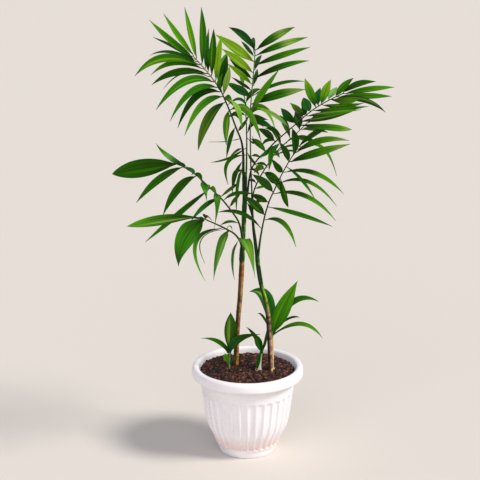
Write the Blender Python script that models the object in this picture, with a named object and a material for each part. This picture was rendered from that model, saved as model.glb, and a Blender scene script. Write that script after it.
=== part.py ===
"""Young areca palm in a fluted white pot: two canes, eight fronds, three shoots, soil and pot.

All lengths below are millimetres. The pot stands on the origin, +Z is up and -Y is the front.
"""
import math
import random

import bmesh
import bpy
from mathutils import Matrix, Vector

MM = 0.001
CLEARANCE = 0.3  # between neighbouring solids

# Pot
POT_HEIGHT = 170
POT_WALL = 3.2
RIM_RADIUS = 105
RIM_DROP = 19  # height of the turned-down rim
MOUTH_RADIUS = 91.6
FOOT_RADIUS = 53
FLOOR_TOP = 8  # inside of the floor
FLUTES = 32
FLUTE_DEPTH = 2
FLUTE_BOTTOM = 18
FLUTE_TOP = 121
BODY_SIDE = (
    (15, 57.5), (20, 60), (37, 67.4), (53, 75.8), (74, 80.6), (103, 84.3), (128, 87.8), (139, 89),
)
DRAIN_HOLES = 6
DRAIN_RADIUS = 3.5
DRAIN_CIRCLE = 28

# Soil
SOIL_LEVEL = 160
SOIL_ROUGHNESS = 2.2
SOIL_RINGS = 6
SOIL_SECTORS = 28

# Places the plant given by the tables below: it stands in front of the pot's middle, a touch slimmer than
# its tables, with its front raised a little.
PLANT_PLACE = Matrix((
    (0.988, 0, 0, 0), (0, 1, 0, -21), (0, -0.0335, 0.9976, 11.3), (0, 0, 0, 1),
))

# Stems: points (x, y, z) of the centre line above the soil, with the radius at each point
BURIED_DEPTH = 40
STEM_SIDES = 10
STEMS = {
    "cane_left": (
        ((-22.5, 37, 150), 5.2), ((-20.7, 36, 200), 4.9), ((-17.7, 34, 250), 4.7), ((-14, 32, 295), 4.6),
        ((-11.5, 30, 345), 4.6), ((-9.8, 29, 385), 4.1), ((-7.5, 28, 430), 4), ((-6, 27, 480), 3.9),
        ((-5.5, 26, 534), 4.4),
    ),
    "cane_right": (
        ((44, 10, 150), 5), ((42, 11, 200), 4.8), ((39, 12, 255), 4.7), ((33.5, 14, 290), 4.2),
        ((25.5, 16, 320), 4), ((20.5, 19, 348), 4), ((18, 23, 377), 4.2),
    ),
    "shoot_left_stem": (((-34.5, 15, 150), 1.7), ((-34.5, 15, 175), 1.5), ((-34.5, 15, 197), 1.4)),
    "shoot_centre_stem": (
        ((22.5, 8, 150), 6.4), ((22.6, 8, 157), 4.6), ((23, 8, 166), 2.6), ((24, 8, 182), 2.1),
        ((25, 8, 198), 1.9),
    ),
    "shoot_right_stem": (
        ((48.8, 17, 150), 3.2), ((47.7, 17.3, 158), 2.7), ((47.2, 17.5, 196), 2.6), ((46.2, 18, 231.5), 2.2),
    ),
}

# Fronds: points of the stalk, its radius at the foot and at the end, then the leaflets, each with the
# station on the stalk (2.5 is halfway between points 2 and 3), the middle of its midrib, its tip, its width
# and how far it is turned about its midrib (degrees).
FRONDS = {
    "frond_top_left": {
        "stalk": (
            (-8.2, 24, 534.6), (-8.5, 20, 570), (-12, 14, 597), (-21, 5, 622), (-31, -8, 652),
            (-41, -20, 679), (-51, -32, 703), (-68, -42, 729), (-84, -50, 750), (-97, -58, 766),
        ),
        "radius": (2, 0.9),
        "leaflets": (
            (9, (-134, -66, 794), (-173, -75, 833), 11, 0),
            (9, (-122, -68, 803), (-148, -80, 845), 10, 0),
            (8.6, (-101, -68, 807), (-111, -80, 856), 11, 10),
            (7.95, (-80, -60, 801), (-82, -72, 855), 14, 0),
            (7.55, (-74, -34, 772), (-70, -24, 810), 8, 20),
            (6.9, (-63, -44, 773), (-61, -46, 813), 11, 0),
            (6.5, (-54, -32, 760), (-47, -26, 798), 10, 20),
            (5.95, (-44, -42, 737), (-37, -50, 768), 14, 0),
            (5.5, (-38, -46, 722), (-33, -56, 748), 9, 0),
            (5.05, (-21, -52, 678), (-11, -85, 643), 14, 0),
            (4.65, (-15, -10, 680), (-1, 4, 660), 6, 0),
            (4.25, (0, -36, 663), (24, -66, 612), 14, 0),
            (2.8, (-10, 8, 627), (2, 14, 643), 7, 0),
            (8.6, (-132, -56, 783), (-168, -62, 801), 8, 40),
            (8.27, (-138, -78, 778), (-172, -98, 774), 8, 40),
            (7.95, (-150, -74, 766), (-199, -98, 738), 17, 0),
            (7.55, (-130, -58, 755), (-172, -72, 735), 10, 0),
            (7.15, (-125, -72, 741), (-170, -92, 721), 13, 0),
            (6.9, (-115, -46, 733), (-151, -44, 705), 5, 40),
            (6.5, (-113, -74, 724), (-163, -98, 677), 17, 0),
            (6.1, (-100, -70, 706), (-138, -92, 656), 14, 0),
            (5.75, (-93, -50, 693), (-126, -62, 637), 15, 0),
            (5.35, (-84, -66, 679), (-113, -92, 630), 14, 0),
            (4.9, (-73, -58, 652), (-89, -88, 602), 17, 0),
            (4.25, (-40, -26, 636), (-39, -46, 602), 13, 0),
            (3.1, (-33, -8, 604), (-39, -22, 573), 9, 0),
            (2.2, (-42, 2, 599), (-72, -8, 600), 6, 70),
            (0.6, (-23, 19, 532), (-29, 8, 498), 7, 0),
            (0.25, (-19, 2, 516), (-21, -12, 466), 8, 0),
        ),
    },
    "frond_inner": {
        "stalk": (
            (-2.7, 28, 534.5), (-2, 32, 570), (-2, 37, 600), (-3, 45, 632), (-5, 57, 660), (-8, 72, 685),
        ),
        "radius": (1.7, 0.9),
        "leaflets": (
            (0.9, (-38, 34, 551), (-36, 30, 510), 7, 20),
            (1.3, (-38, 44, 557), (-69, 48, 549), 6, 45),
            (2.2, (12, 46, 625), (30, 60, 612), 9, 0),
            (3.0, (14, 53, 650), (34, 64, 642), 10, 0),
            (3.2, (-20, 56, 640), (-38, 70, 628), 8, 0),
            (3.95, (8, 70, 676), (25, 82, 680), 9, 0),
            (4.4, (-22, 74, 686), (-40, 84, 690), 9, 0),
            (5, (-11, 88, 706), (-14, 105, 722), 9, 0),
        ),
    },
    "frond_top_centre": {
        "stalk": (
            (16, 22, 377.4), (13, 25, 400), (9.5, 27, 430), (8, 29, 462), (7.5, 30, 500), (6, 32, 540),
            (5, 33, 580), (4.5, 34, 620), (5, 36, 650), (7, 38, 680), (9, 42, 702), (11, 46, 724),
            (12.5, 50, 745), (13.5, 53, 758),
        ),
        "radius": (1.7, 0.9),
        "leaflets": (
            (13, (50, 42, 785), (85, 30, 804), 14, 0),
            (12.2, (62, 38, 771), (108, 25, 786), 12, 0),
            (11.3, (62, 34, 752), (113, 20, 769), 11, 0),
            (10.2, (60, 30, 732), (111, 16, 745), 11, 0),
            (8.85, (57, 33, 700), (103, 26, 705), 6.5, 0),
            (8.35, (55, 18, 683), (105, 4, 695), 16, 0),
            (7.9, (26, 8, 688), (56, -16, 735), 12, 0),
            (10.9, (17, 72, 733), (26, 98, 741), 9, 0),
            (9.6, (15, 66, 708), (18, 92, 716), 8, 0),
            (13, (-8, 44, 786), (-35, 32, 803), 13, 0),
            (12.45, (10, 78, 771), (7, 104, 769), 8, 0),
            (12.1, (0, 60, 760), (-12, 72, 771), 8, 30),
            (11.6, (-22, 30, 765), (-58, 12, 793), 15, 0),
            (10.7, (-18, 30, 743), (-47, 15, 767), 12, 0),
            (10.2, (-12, 60, 721), (-34, 76, 738), 10, 0),
            (9.75, (-14, 26, 720), (-38, 12, 741), 8, 25),
            (9.25, (-10, 30, 700), (-30, 16, 715), 7, 35),
            (8.8, (-14, 50, 685), (-36, 62, 692), 15, 0),
        ),
    },
    "frond_upper_right": {
        "stalk": (
            (-0.5, 23.6, 497), (2.5, 15, 524), (8, 5, 549), (21, -8, 571), (35, -15, 586), (48, -19, 601),
            (60, -23, 613), (80, -29, 632), (100, -34, 651), (120, -38, 668), (145, -42, 684),
            (170, -46, 697),
        ),
        "radius": (1.9, 0.9),
        "leaflets": (
            (9.1, (111, -48, 700), (101, -56, 726), 16, 0),
            (8.5, (104, -66, 690), (100, -92, 668), 13, 0),
            (9.5, (138, -52, 702), (147, -62, 725), 13, 0),
            (9.85, (131, -26, 704), (122, -6, 684), 12, 0),
            (10.2, (154, -22, 700), (157, 8, 697), 10, 0),
            (10.5, (170, -53, 711), (187, -62, 728), 12, 0),
            (11, (195, -51, 715), (227, -60, 721), 10, 0),
            (11, (218, -50, 706), (261, -55, 710), 9, 0),
            (10.55, (209, -58, 695), (255, -72, 697), 10, 0),
            (10.15, (204, -68, 690), (243, -92, 672), 9, 0),
            (9.75, (174, -60, 683), (208, -78, 685), 9, 0),
            (9.35, (170, -46, 671), (214, -52, 674), 8, 0),
            (8.95, (164, -54, 665), (204, -66, 664), 8, 0),
            (8.5, (147, -62, 661), (180, -82, 671), 8, 0),
            (8.05, (135, -46, 649), (169, -56, 657), 10, 0),
            (7.3, (140, -46, 635), (189, -60, 633), 12, 0),
            (6.95, (86, -54, 610), (81, -66, 587), 14, 0),
            (7.35, (72, -16, 650), (60, 4, 660), 14, 0),
            (8.0, (89, -46, 668), (75, -60, 683), 11, 0),
            (7.7, (90, -10, 655), (88, 12, 657), 9, 0),
            (6.8, (50, -22, 652), (14, -12, 666), 9, 0),
            (6.05, (43, -8, 625), (20, 6, 629), 8, 0),
            (5.15, (37, 0, 613), (18, 20, 619), 13, 0),
            (4.6, (42, -30, 581), (38, -38, 553), 10, 0),
            (4.2, (50, -8, 582), (58, 4, 568), 9, 0),
        ),
    },
    "frond_right": {
        "stalk": (
            (20.2, 21.5, 378.1), (23, 26, 402), (27, 32, 425), (32.5, 38, 450), (40, 44, 474), (48, 50, 491),
            (57, 54, 510), (65, 57, 526), (74, 60, 542), (84, 63, 558), (94, 66, 576),
        ),
        "radius": (1.7, 0.9),
        "leaflets": (
            (2.65, (67, 28, 437), (90, 8, 396), 9, 0),
            (3.6, (98, 50, 448), (160, 55, 423), 9, 0),
            (4.85, (110, 55, 482), (166, 55, 434), 8, 0),
            (5.8, (113, 47, 512), (166, 40, 467), 6.5, 0),
            (6.4, (68, 28, 490), (75, 2, 474), 10, 0),
            (7.1, (126, 52, 527), (180, 46, 488), 8, 0),
            (7.75, (100, 24, 521), (124, -8, 492), 8, 0),
            (8.3, (130, 46, 568), (189, 32, 587), 14, 0),
            (9.25, (135, 58, 588), (188, 48, 590), 11, 0),
            (9.6, (137, 80, 572), (168, 88, 513), 6, 0),
            (9.9, (125, 66, 600), (156, 68, 613), 10, 0),
            (8.3, (71, 54, 567), (58, 46, 588), 12, 0),
            (7.1, (57, 53, 537), (44, 48, 556), 11, 0),
            (6.0, (47, 42, 518), (32, 30, 531), 11, 0),
            (5.0, (31, 35, 513), (8, 18, 533), 13, 0),
            (3.95, (23, 48, 480), (7, 48, 488), 12, 0),
            (3.0, (17, 24, 470), (-3, 8, 488), 14, 0),
            (2.0, (-12, 14, 460), (-56, -3, 466), 8, 0),
        ),
    },
    "frond_back_right": {
        "stalk": (
            (18, 26, 377.2), (15.5, 33, 400), (11.5, 37, 430), (9.5, 40, 462), (11, 44, 492), (20, 49, 514),
            (28, 54, 528), (37, 60, 541), (50, 66, 560), (65, 72, 575), (82, 79, 588), (98, 86, 602),
            (112, 94, 614),
        ),
        "radius": (1.7, 0.9),
        "leaflets": (
            (4.3, (24, 56, 500), (34, 64, 498), 5, 0),
            (6.4, (21, 52, 546), (11, 48, 533), 13, 0),
            (8.9, (52, 84, 598), (40, 94, 608), 10, 0),
            (9.9, (70, 94, 612), (60, 104, 626), 11, 0),
            (10.9, (90, 102, 632), (86, 112, 650), 11, 0),
            (10.1, (110, 96, 584), (134, 108, 566), 9, 0),
            (11.1, (126, 106, 600), (152, 116, 590), 9, 0),
            (12, (136, 108, 626), (160, 122, 628), 9, 0),
        ),
    },
    "frond_left": {
        "stalk": (
            (-10.2, 23.1, 412), (-13, 13, 430), (-19, 4, 450), (-35, -10, 477), (-50, -20, 498),
            (-69, -30, 519), (-93, -40, 545), (-112, -47, 560), (-125, -52, 571),
        ),
        "radius": (1.8, 1),
        "leaflets": (
            (8, (-184, -66, 566), (-244, -78, 557), 34, 0),
            (8, (-147, -52, 590), (-169, -58, 608), 12, 20),
            (7.35, (-161, -70, 545), (-201, -88, 506), 17, 0),
            (6.0, (-127, -56, 525), (-154, -72, 478), 19, 0),
            (5.35, (-79, -52, 516), (-77, -62, 479), 17, 0),
            (5.0, (-129, -50, 474), (-187, -68, 427), 13, 0),
            (4.45, (-60, -42, 486), (-63, -54, 436), 14, 0),
            (4.05, (-80, -34, 486), (-104, -46, 461), 12, 0),
            (4.05, (-32, -4, 511), (-15, 14, 519), 6, 20),
            (3.7, (-20, -16, 506), (8, -12, 503), 7, 20),
            (3.0, (-25, 6, 487), (-13, 14, 498), 8, 0),
        ),
    },
    "frond_lower_left": {
        "stalk": (
            (-11.4, 23.6, 394), (-15, 13, 408), (-25, -10, 427), (-38, -28, 440), (-50, -45, 451),
            (-62, -60, 461), (-73, -75, 470), (-85, -85, 479),
        ),
        "radius": (1.8, 1),
        "leaflets": (
            (7, (-154, -96, 473), (-217, -106, 467), 18, 0),
            (6.35, (-115, -102, 444), (-124, -116, 391), 40, 0),
            (6.35, (-74, -86, 483), (-65, -92, 474), 8, 0),
            (4.05, (-34, -42, 459), (-17, -34, 453), 5, 40),
            (3.65, (-96, -60, 424), (-78, -76, 356), 10, 0),
            (3.3, (-82, -40, 424), (-79, -42, 378), 5, 30),
            (2.9, (-52, -50, 407), (-63, -66, 354), 22, 0),
            (3.1, (-33, -34, 449), (-28, -36, 440), 4, 0),
            (1.5, (2, -14, 411), (15, -40, 351), 16, 0),
            (1.1, (-29, 0, 379), (-24, -18, 340), 9, 0),
        ),
    },
}

# Leaves of the shoots: foot, middle and tip of the midrib, and the width
SHOOT_LEAVES = {
    "shoot_left_leaf_upright": ((-34.5, 15, 197.6), (-32, 7, 238), (-32, -4, 272), 25),
    "shoot_left_leaf_left": ((-37.7, 14.5, 192), (-58, 8, 213), (-88, -5, 221), 9),
    "shoot_left_leaf_right": ((-31.3, 14.3, 192), (-8, 0, 227), (24, -14, 232), 13),
    "shoot_left_leaf_low_left": ((-37.8, 14, 166), (-40, 10, 177), (-43, 6, 187), 8),
    "shoot_left_leaf_low_right": ((-31.3, 14, 168), (-24, 10, 176), (-15, 8, 181), 5),
    "shoot_centre_leaf_left": ((24.2, 6.6, 198.6), (13, 4, 222), (-3, -2, 243), 6),
    "shoot_centre_leaf_front": ((25, 5.2, 193), (19, -1, 213), (14, -6, 229), 12),
    "shoot_centre_leaf_right": ((26.6, 8.4, 198.8), (34, 7, 212), (36, 4, 240), 5),
    "shoot_centre_leaf_low": ((17.7, 2.8, 153.5), (19.9, 3, 172), (23.5, 4, 190), 7),
    "shoot_right_leaf_big": ((46.2, 17.6, 232.5), (69.5, 10, 281), (93.5, -2, 334), 28),
    "shoot_right_leaf_back": ((49, 20.3, 226.5), (85.5, 27, 283), (134.5, 30, 283), 14),
    "shoot_right_leaf_low": ((48.7, 15.7, 225.5), (100.5, 4, 249.5), (141.5, -6, 221), 10),
    "shoot_right_leaf_small": ((49.6, 17.6, 230), (74.5, 17, 251.5), (98.5, 14, 256.5), 5),
    "shoot_right_leaf_left": ((45.8, 21.6, 228.5), (35, 38, 288), (3, 30, 302), 27),
    "shoot_right_leaf_thin": ((44, 21, 223.5), (31, 37, 248.5), (19, 34, 257.5), 4),
}

# Blade of a leaf or leaflet: share of the width at each share of the length
BLADE_OUTLINE = ((0.11, 0.36), (0.29, 0.78), (0.52, 1), (0.77, 0.74), (1, 0.05))
NECK_SHARE = 0.04  # short neck between the stalk and the blade
NECK_WIDTH = 1.9
NECK_THICKNESS = 1.3
NECK_STEP = 1.1  # how far the neck stands off beside the stalk
BLADE_THICKNESS = 0.9
LEAFLET_FOOT = 3.2  # how much of the stalk a leaflet takes up
LEAF_FOOT = 2.4  # width of a free leaf where it leaves its stem

COLOURS = {
    "pot": (0.86, 0.85, 0.86), "soil": (0.09, 0.045, 0.03), "cane": (0.3, 0.2, 0.09),
    "stem": (0.28, 0.32, 0.1), "frond": (0.08, 0.22, 0.035), "leaf": (0.1, 0.28, 0.04),
}
ROUGHNESS = {"pot": 0.25, "soil": 0.95, "cane": 0.55, "stem": 0.5, "frond": 0.38, "leaf": 0.38}


def make_material(kind):
    """One Principled material of its own for a piece."""
    material = bpy.data.materials.new(kind)
    material.use_nodes = True
    shader = material.node_tree.nodes["Principled BSDF"]
    shader.inputs["Base Color"].default_value = (*COLOURS[kind], 1)
    shader.inputs["Roughness"].default_value = ROUGHNESS[kind]
    shader.inputs["Metallic"].default_value = 0
    return material


def add_object(name, bm, kind, smooth=True):
    """Turn a bmesh in millimetres into a scene object in metres; the plant's pieces go to their place."""
    if kind not in ("pot", "soil"):
        bmesh.ops.transform(bm, matrix=PLANT_PLACE, verts=bm.verts)
    bmesh.ops.scale(bm, vec=(MM, MM, MM), verts=bm.verts)
    bmesh.ops.recalc_face_normals(bm, faces=bm.faces)
    if bm.calc_volume(signed=True) < 0:
        bmesh.ops.reverse_faces(bm, faces=bm.faces)
    mesh = bpy.data.meshes.new(name)
    bm.to_mesh(mesh)
    bm.free()
    if smooth:
        mesh.shade_smooth()
        mesh.set_sharp_from_angle(angle=math.radians(40))
    mesh.materials.append(make_material(kind))
    obj = bpy.data.objects.new(name, mesh)
    bpy.context.scene.collection.objects.link(obj)
    return obj


def add_ring(bm, radii, height):
    """A level ring about the Z axis with one vertex for each radius given."""
    count = len(radii)
    ring = []
    for i, radius in enumerate(radii):
        angle = math.tau * i / count
        ring.append(bm.verts.new((radius * math.cos(angle), radius * math.sin(angle), height)))
    return ring


def join_rings(bm, first, second):
    """Faces between two rings; one of them may have twice as many vertices as the other."""
    if len(first) > len(second):
        first, second = second, first
    count = len(first)
    step = len(second) // count
    for i in range(count):
        j = (i + 1) % count
        between = [second[(step * i + k) % len(second)] for k in range(step, -1, -1)]
        bm.faces.new([first[i], first[j], *between])


def body_radius(height):
    """Outer radius of the pot's body, without the flutes."""
    for (low, near), (high, far) in zip(BODY_SIDE, BODY_SIDE[1:]):
        if height <= high:
            return near + (far - near) * (height - low) / (high - low)
    return BODY_SIDE[-1][1]


def make_pot():
    """A turned pot with hollow flutes around its body and a turned-down rim."""
    bm = bmesh.new()
    plain = 2 * FLUTES
    rim_skirt = 2.6
    skirt_bottom = POT_HEIGHT - RIM_DROP
    flute_heights = (FLUTE_BOTTOM, 22, 37, 53, 74, 103, FLUTE_TOP - 4, FLUTE_TOP)
    rings = []
    for height, radius in ((0, FOOT_RADIUS), (13, 56), (15, body_radius(15))):
        rings.append(add_ring(bm, [radius] * plain, height))
    for height in flute_heights:
        deep = 0 if height in (FLUTE_BOTTOM, FLUTE_TOP) else FLUTE_DEPTH
        radius = body_radius(height)
        rings.append(add_ring(bm, [radius, radius, radius - deep, radius - deep] * FLUTES, height))
    rim_underside = (
        (128, body_radius(128)), (139, body_radius(139)), (140, 91.4), (151, 92.4), (159, 93),
        (159, RIM_RADIUS - rim_skirt), (skirt_bottom, RIM_RADIUS - rim_skirt),
    )
    rim_roll = (
        (skirt_bottom, RIM_RADIUS - 1), (153.5, RIM_RADIUS), (165, RIM_RADIUS - 0.4),
        (168.5, RIM_RADIUS - 3), (POT_HEIGHT, 99), (169.2, 94.5), (166.5, MOUTH_RADIUS), (148, 87),
    )
    inside = [(height, body_radius(height) - POT_WALL) for height in (128, 103, 74, 53, 37, 20)]
    for height, radius in (*rim_underside, *rim_roll, *inside, (FLOOR_TOP, 51)):
        rings.append(add_ring(bm, [radius] * plain, height))
    for first, second in zip(rings, rings[1:]):
        join_rings(bm, first, second)
    bm.faces.new(rings[0])
    bm.faces.new(rings[-1])
    pot = add_object("pot", bm, "pot")
    for i in range(DRAIN_HOLES):
        angle = math.tau * (i + 0.5) / DRAIN_HOLES
        spot = Vector((DRAIN_CIRCLE * math.cos(angle), DRAIN_CIRCLE * math.sin(angle), FLOOR_TOP / 2))
        cut_round_hole(pot, f"drain_cutter_{i}", spot, DRAIN_RADIUS, FLOOR_TOP + 4)
    return pot


def cut_round_hole(body, name, centre, radius, depth):
    """Cut an upright round hole with a hidden cylinder, centred at the given place (mm)."""
    bm = bmesh.new()
    bmesh.ops.create_cone(
        bm, cap_ends=True, segments=STEM_SIDES, radius1=radius, radius2=radius, depth=depth,
    )
    bmesh.ops.translate(bm, vec=centre, verts=bm.verts)
    cutter = add_object(name, bm, "soil", smooth=False)
    cutter.hide_render = True
    cutter.display_type = "WIRE"
    boolean = body.modifiers.new(name, "BOOLEAN")
    boolean.operation = "DIFFERENCE"
    boolean.object = cutter


def make_soil():
    """Soil that fills the pot, lumpy on top, with a socket for each stem."""
    generator = random.Random(7)
    bm = bmesh.new()
    slack = {20: 1.2, 37: 1, 53: 1, 74: 0.8, 103: 0.6, 128: 0.6}  # inside the pot's wall
    side = [(FLOOR_TOP + CLEARANCE, 50)]
    side += [(height, body_radius(height) - POT_WALL - gap) for height, gap in slack.items()]
    side.append((148, 86.2))
    rings = [add_ring(bm, [radius] * SOIL_SECTORS, height) for height, radius in side]
    top_radius = 88.5
    for k in range(SOIL_RINGS):
        share = 1 - k / SOIL_RINGS
        ring = add_ring(bm, [top_radius * share] * SOIL_SECTORS, SOIL_LEVEL)
        for vertex in ring:
            vertex.co.z += generator.uniform(-1, 1) * SOIL_ROUGHNESS - 1.5 * (k == 0)
        rings.append(ring)
    for first, second in zip(rings, rings[1:]):
        join_rings(bm, first, second)
    bm.faces.new(rings[0])
    centre = bm.verts.new((0, 0, SOIL_LEVEL))
    last = rings[-1]
    for i in range(SOIL_SECTORS):
        bm.faces.new((last[i], last[(i + 1) % SOIL_SECTORS], centre))
    soil = add_object("soil", bm, "soil", smooth=False)
    for name, points in STEMS.items():
        foot, radius = points[0]
        x, y, z = PLANT_PLACE @ Vector(foot)
        socket = radius + CLEARANCE / math.cos(math.pi / STEM_SIDES)
        low = z - BURIED_DEPTH - 2 * CLEARANCE
        centre = Vector((x, y, (low + z + 20) / 2))
        cut_round_hole(soil, f"socket_{name}", centre, socket, z + 20 - low)
    return soil


def make_stem(name, points):
    """A stem: straight down in the soil, then tapering along its own curve above it."""
    bm = bmesh.new()
    (x, y, z), radius = points[0]
    upright = Vector((0, 0, 1))
    sections = [(Vector((x, y, z - BURIED_DEPTH)), upright, radius)]
    centres = [Vector(place) for place, _ in points]
    for i, (_, radius) in enumerate(points):
        before = centres[max(i - 1, 0)]
        after = centres[min(i + 1, len(points) - 1)]
        direction = upright if i == 0 else (after - before).normalized()
        sections.append((centres[i], direction, radius))
    rings = []
    for centre, direction, radius in sections:
        side = Vector((1, 0, 0))
        side = (side - direction * side.dot(direction)).normalized()
        front = direction.cross(side)
        ring = []
        for k in range(STEM_SIDES):
            angle = math.tau * k / STEM_SIDES
            ring.append(bm.verts.new(centre + radius * (math.sin(angle) * side + math.cos(angle) * front)))
        rings.append(ring)
    for first, second in zip(rings, rings[1:]):
        join_rings(bm, first, second)
    bm.faces.new(rings[0])
    bm.faces.new(rings[-1])
    return add_object(name, bm, "cane" if name.startswith("cane") else "stem")


def along_curve(points, station):
    """Place and direction on a smooth curve through the points, at a station counted in points."""
    last = len(points) - 1
    i = min(int(station), last - 1)
    t = station - i
    p1 = Vector(points[i])
    p2 = Vector(points[i + 1])
    p0 = Vector(points[i - 1]) if i > 0 else 2 * p1 - p2
    p3 = Vector(points[i + 2]) if i + 2 <= last else 2 * p2 - p1
    a = (p3 - p0 + 3 * (p1 - p2)) / 2
    b = (2 * p0 - 5 * p1 + 4 * p2 - p3) / 2
    c = (p2 - p0) / 2
    place = ((a * t + b) * t + c) * t + p1
    direction = (3 * a * t + 2 * b) * t + c
    return place, direction.normalized()


def stalk_axes(direction):
    """Sideways and forward directions of a frond that faces the front and slightly up."""
    facing = Vector((0, -1, 0.35))
    side = direction.cross(facing).normalized()
    return side, side.cross(direction)


def blade_rings(bm, foot, middle, tip, width, turn, forward, outward, away):
    """Four-cornered sections of a thin blade along its arched midrib, from neck to tip."""
    bend = 2 * middle - (foot + tip) / 2
    chord = (tip - foot).normalized()
    spread = chord.cross(forward)
    heading = ((bend - foot) * 2 * NECK_SHARE + away * NECK_STEP).normalized()
    if spread.dot(outward - heading * outward.dot(heading)) < 0:
        spread.negate()
    spread += 0.3 * outward
    sections = [(NECK_SHARE, NECK_WIDTH, NECK_THICKNESS)]
    sections += [(share, width * part, BLADE_THICKNESS) for share, part in BLADE_OUTLINE]
    rings = []
    for share, section_width, thickness in sections:
        centre = (1 - share) ** 2 * foot + 2 * share * (1 - share) * bend + share ** 2 * tip
        along = ((1 - share) * (bend - foot) + share * (tip - bend)).normalized()
        along = (2 * along + chord).normalized()
        across = spread
        if not rings:
            across = spread + outward
            centre += away * NECK_STEP
        across = (across - along * across.dot(along)).normalized()
        normal = across.cross(along)
        if not rings:
            facing = 1 if normal.dot(forward) > 0 else -1
        angle = math.radians(turn) * min(1, share / 0.3)
        across = math.cos(angle) * across + math.sin(angle) * normal
        normal = facing * across.cross(along)
        half_width = across * section_width / 2
        half_thickness = normal * thickness / 2
        rings.append([
            bm.verts.new(centre - half_width - half_thickness),
            bm.verts.new(centre - half_width + half_thickness),
            bm.verts.new(centre + half_width + half_thickness),
            bm.verts.new(centre + half_width - half_thickness),
        ])
    return rings


def make_frond(name, frond):
    """A stalk with its leaflets grown out of its two sides, all one body."""
    bm = bmesh.new()
    points = frond["stalk"]
    last = len(points) - 1
    feet = {}
    for leaflet in frond["leaflets"]:
        place, direction = along_curve(points, leaflet[0])
        side, _ = stalk_axes(direction)
        right = (Vector(leaflet[1]) - place).dot(side) > 0
        feet.setdefault(leaflet[0], {})[right] = leaflet
    spans = {}
    for station in feet:
        i = min(int(station), last - 1)
        length = (Vector(points[i + 1]) - Vector(points[i])).length
        spans[station] = LEAFLET_FOOT / 2 / length
    stations = [(0.0, None), (float(last), None)]
    for station, span in spans.items():
        if station == last:
            stations.append((last - 2 * span, station))
        else:
            stations += [(station - span, station), (station + span, None)]
    for i in range(1, last):
        if all(abs(i - station) > 2 * span for station, span in spans.items()):
            stations.append((float(i), None))
    stations.sort(key=lambda pair: pair[0])
    low, high = frond["radius"]
    rings = []
    for station, _ in stations:
        place, direction = along_curve(points, station)
        side, front = stalk_axes(direction)
        radius = low + (high - low) * station / last
        ring = []
        for k in range(6):
            angle = math.radians(60 * k - 30)
            ring.append(bm.verts.new(place + radius * (math.cos(angle) * side + math.sin(angle) * front)))
        rings.append(ring)
    bm.faces.new(rings[0])
    bm.faces.new(rings[-1])
    for i in range(len(rings) - 1):
        near, far = rings[i], rings[i + 1]
        grown = feet.get(stations[i][1], {})
        for k in range(6):
            leaflet = grown.get(True) if k == 0 else grown.get(False) if k == 3 else None
            corners = [near[k], near[(k + 1) % 6], far[(k + 1) % 6], far[k]]
            if leaflet is None:
                bm.faces.new(corners)
                continue
            if k == 3:
                corners = [corners[1], corners[0], corners[3], corners[2]]
            station, middle, tip, width, turn = leaflet
            _, direction = along_curve(points, station)
            side, front = stalk_axes(direction)
            away = side if k == 0 else -side
            foot = sum((vertex.co for vertex in corners), Vector()) / 4
            rows = [corners]
            rows += blade_rings(bm, foot, Vector(middle), Vector(tip), width, turn, front, direction, away)
            for row, next_row in zip(rows, rows[1:]):
                join_rings(bm, row, next_row)
            bm.faces.new(rows[-1])
    return add_object(name, bm, "frond")


def make_leaf(name, foot, middle, tip, width):
    """A free leaf of a shoot, narrow at the foot where it clasps its stem."""
    bm = bmesh.new()
    foot = Vector(foot)
    middle = Vector(middle)
    tip = Vector(tip)
    forward = Vector((0, -1, 0.35))
    rows = blade_rings(bm, foot, middle, tip, width, 0, forward, Vector((0, 0, 1)), Vector())
    across = (rows[0][2].co - rows[0][1].co).normalized() * LEAF_FOOT / 2
    normal = (rows[0][1].co - rows[0][0].co).normalized() * BLADE_THICKNESS / 2
    first = [
        bm.verts.new(foot - across - normal), bm.verts.new(foot - across + normal),
        bm.verts.new(foot + across + normal), bm.verts.new(foot + across - normal),
    ]
    rows.insert(0, first)
    for row, next_row in zip(rows, rows[1:]):
        join_rings(bm, row, next_row)
    bm.faces.new(rows[0])
    bm.faces.new(rows[-1])
    return add_object(name, bm, "leaf")


def main():
    for obj in list(bpy.data.objects):
        bpy.data.objects.remove(obj, do_unlink=True)
    make_pot()
    make_soil()
    for name, points in STEMS.items():
        make_stem(name, points)
    for name, frond in FRONDS.items():
        make_frond(name, frond)
    for name, (foot, middle, tip, width) in SHOOT_LEAVES.items():
        make_leaf(name, foot, middle, tip, width)


main()
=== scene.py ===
import math
import random

import bpy
from mathutils import Matrix, Vector, noise


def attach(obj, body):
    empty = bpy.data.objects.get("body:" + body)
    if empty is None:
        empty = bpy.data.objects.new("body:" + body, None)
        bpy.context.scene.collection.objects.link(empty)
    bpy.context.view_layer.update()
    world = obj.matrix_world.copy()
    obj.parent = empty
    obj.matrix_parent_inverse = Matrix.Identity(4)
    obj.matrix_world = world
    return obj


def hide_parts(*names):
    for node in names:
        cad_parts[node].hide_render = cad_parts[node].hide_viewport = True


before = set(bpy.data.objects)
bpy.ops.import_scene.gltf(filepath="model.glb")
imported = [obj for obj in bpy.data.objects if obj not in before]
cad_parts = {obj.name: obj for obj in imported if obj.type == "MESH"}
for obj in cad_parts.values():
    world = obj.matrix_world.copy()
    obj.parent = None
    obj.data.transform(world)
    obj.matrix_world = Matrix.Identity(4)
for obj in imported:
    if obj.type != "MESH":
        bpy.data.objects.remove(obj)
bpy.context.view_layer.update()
mm = 0.001  # every length below is in millimetres, and this turns it to metres


def hexColour(text):  # an sRGB hex value as the linear colour that shaders take
    linear = []
    for start in (1, 3, 5):
        value = int(text[start:start + 2], 16) / 255
        linear.append(value / 12.92 if value <= 0.04045 else ((value + 0.055) / 1.055) ** 2.4)
    return (*linear, 1.0)


def mixColour(first, second, share):
    return tuple(a + (b - a) * share for a, b in zip(first, second))


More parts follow.
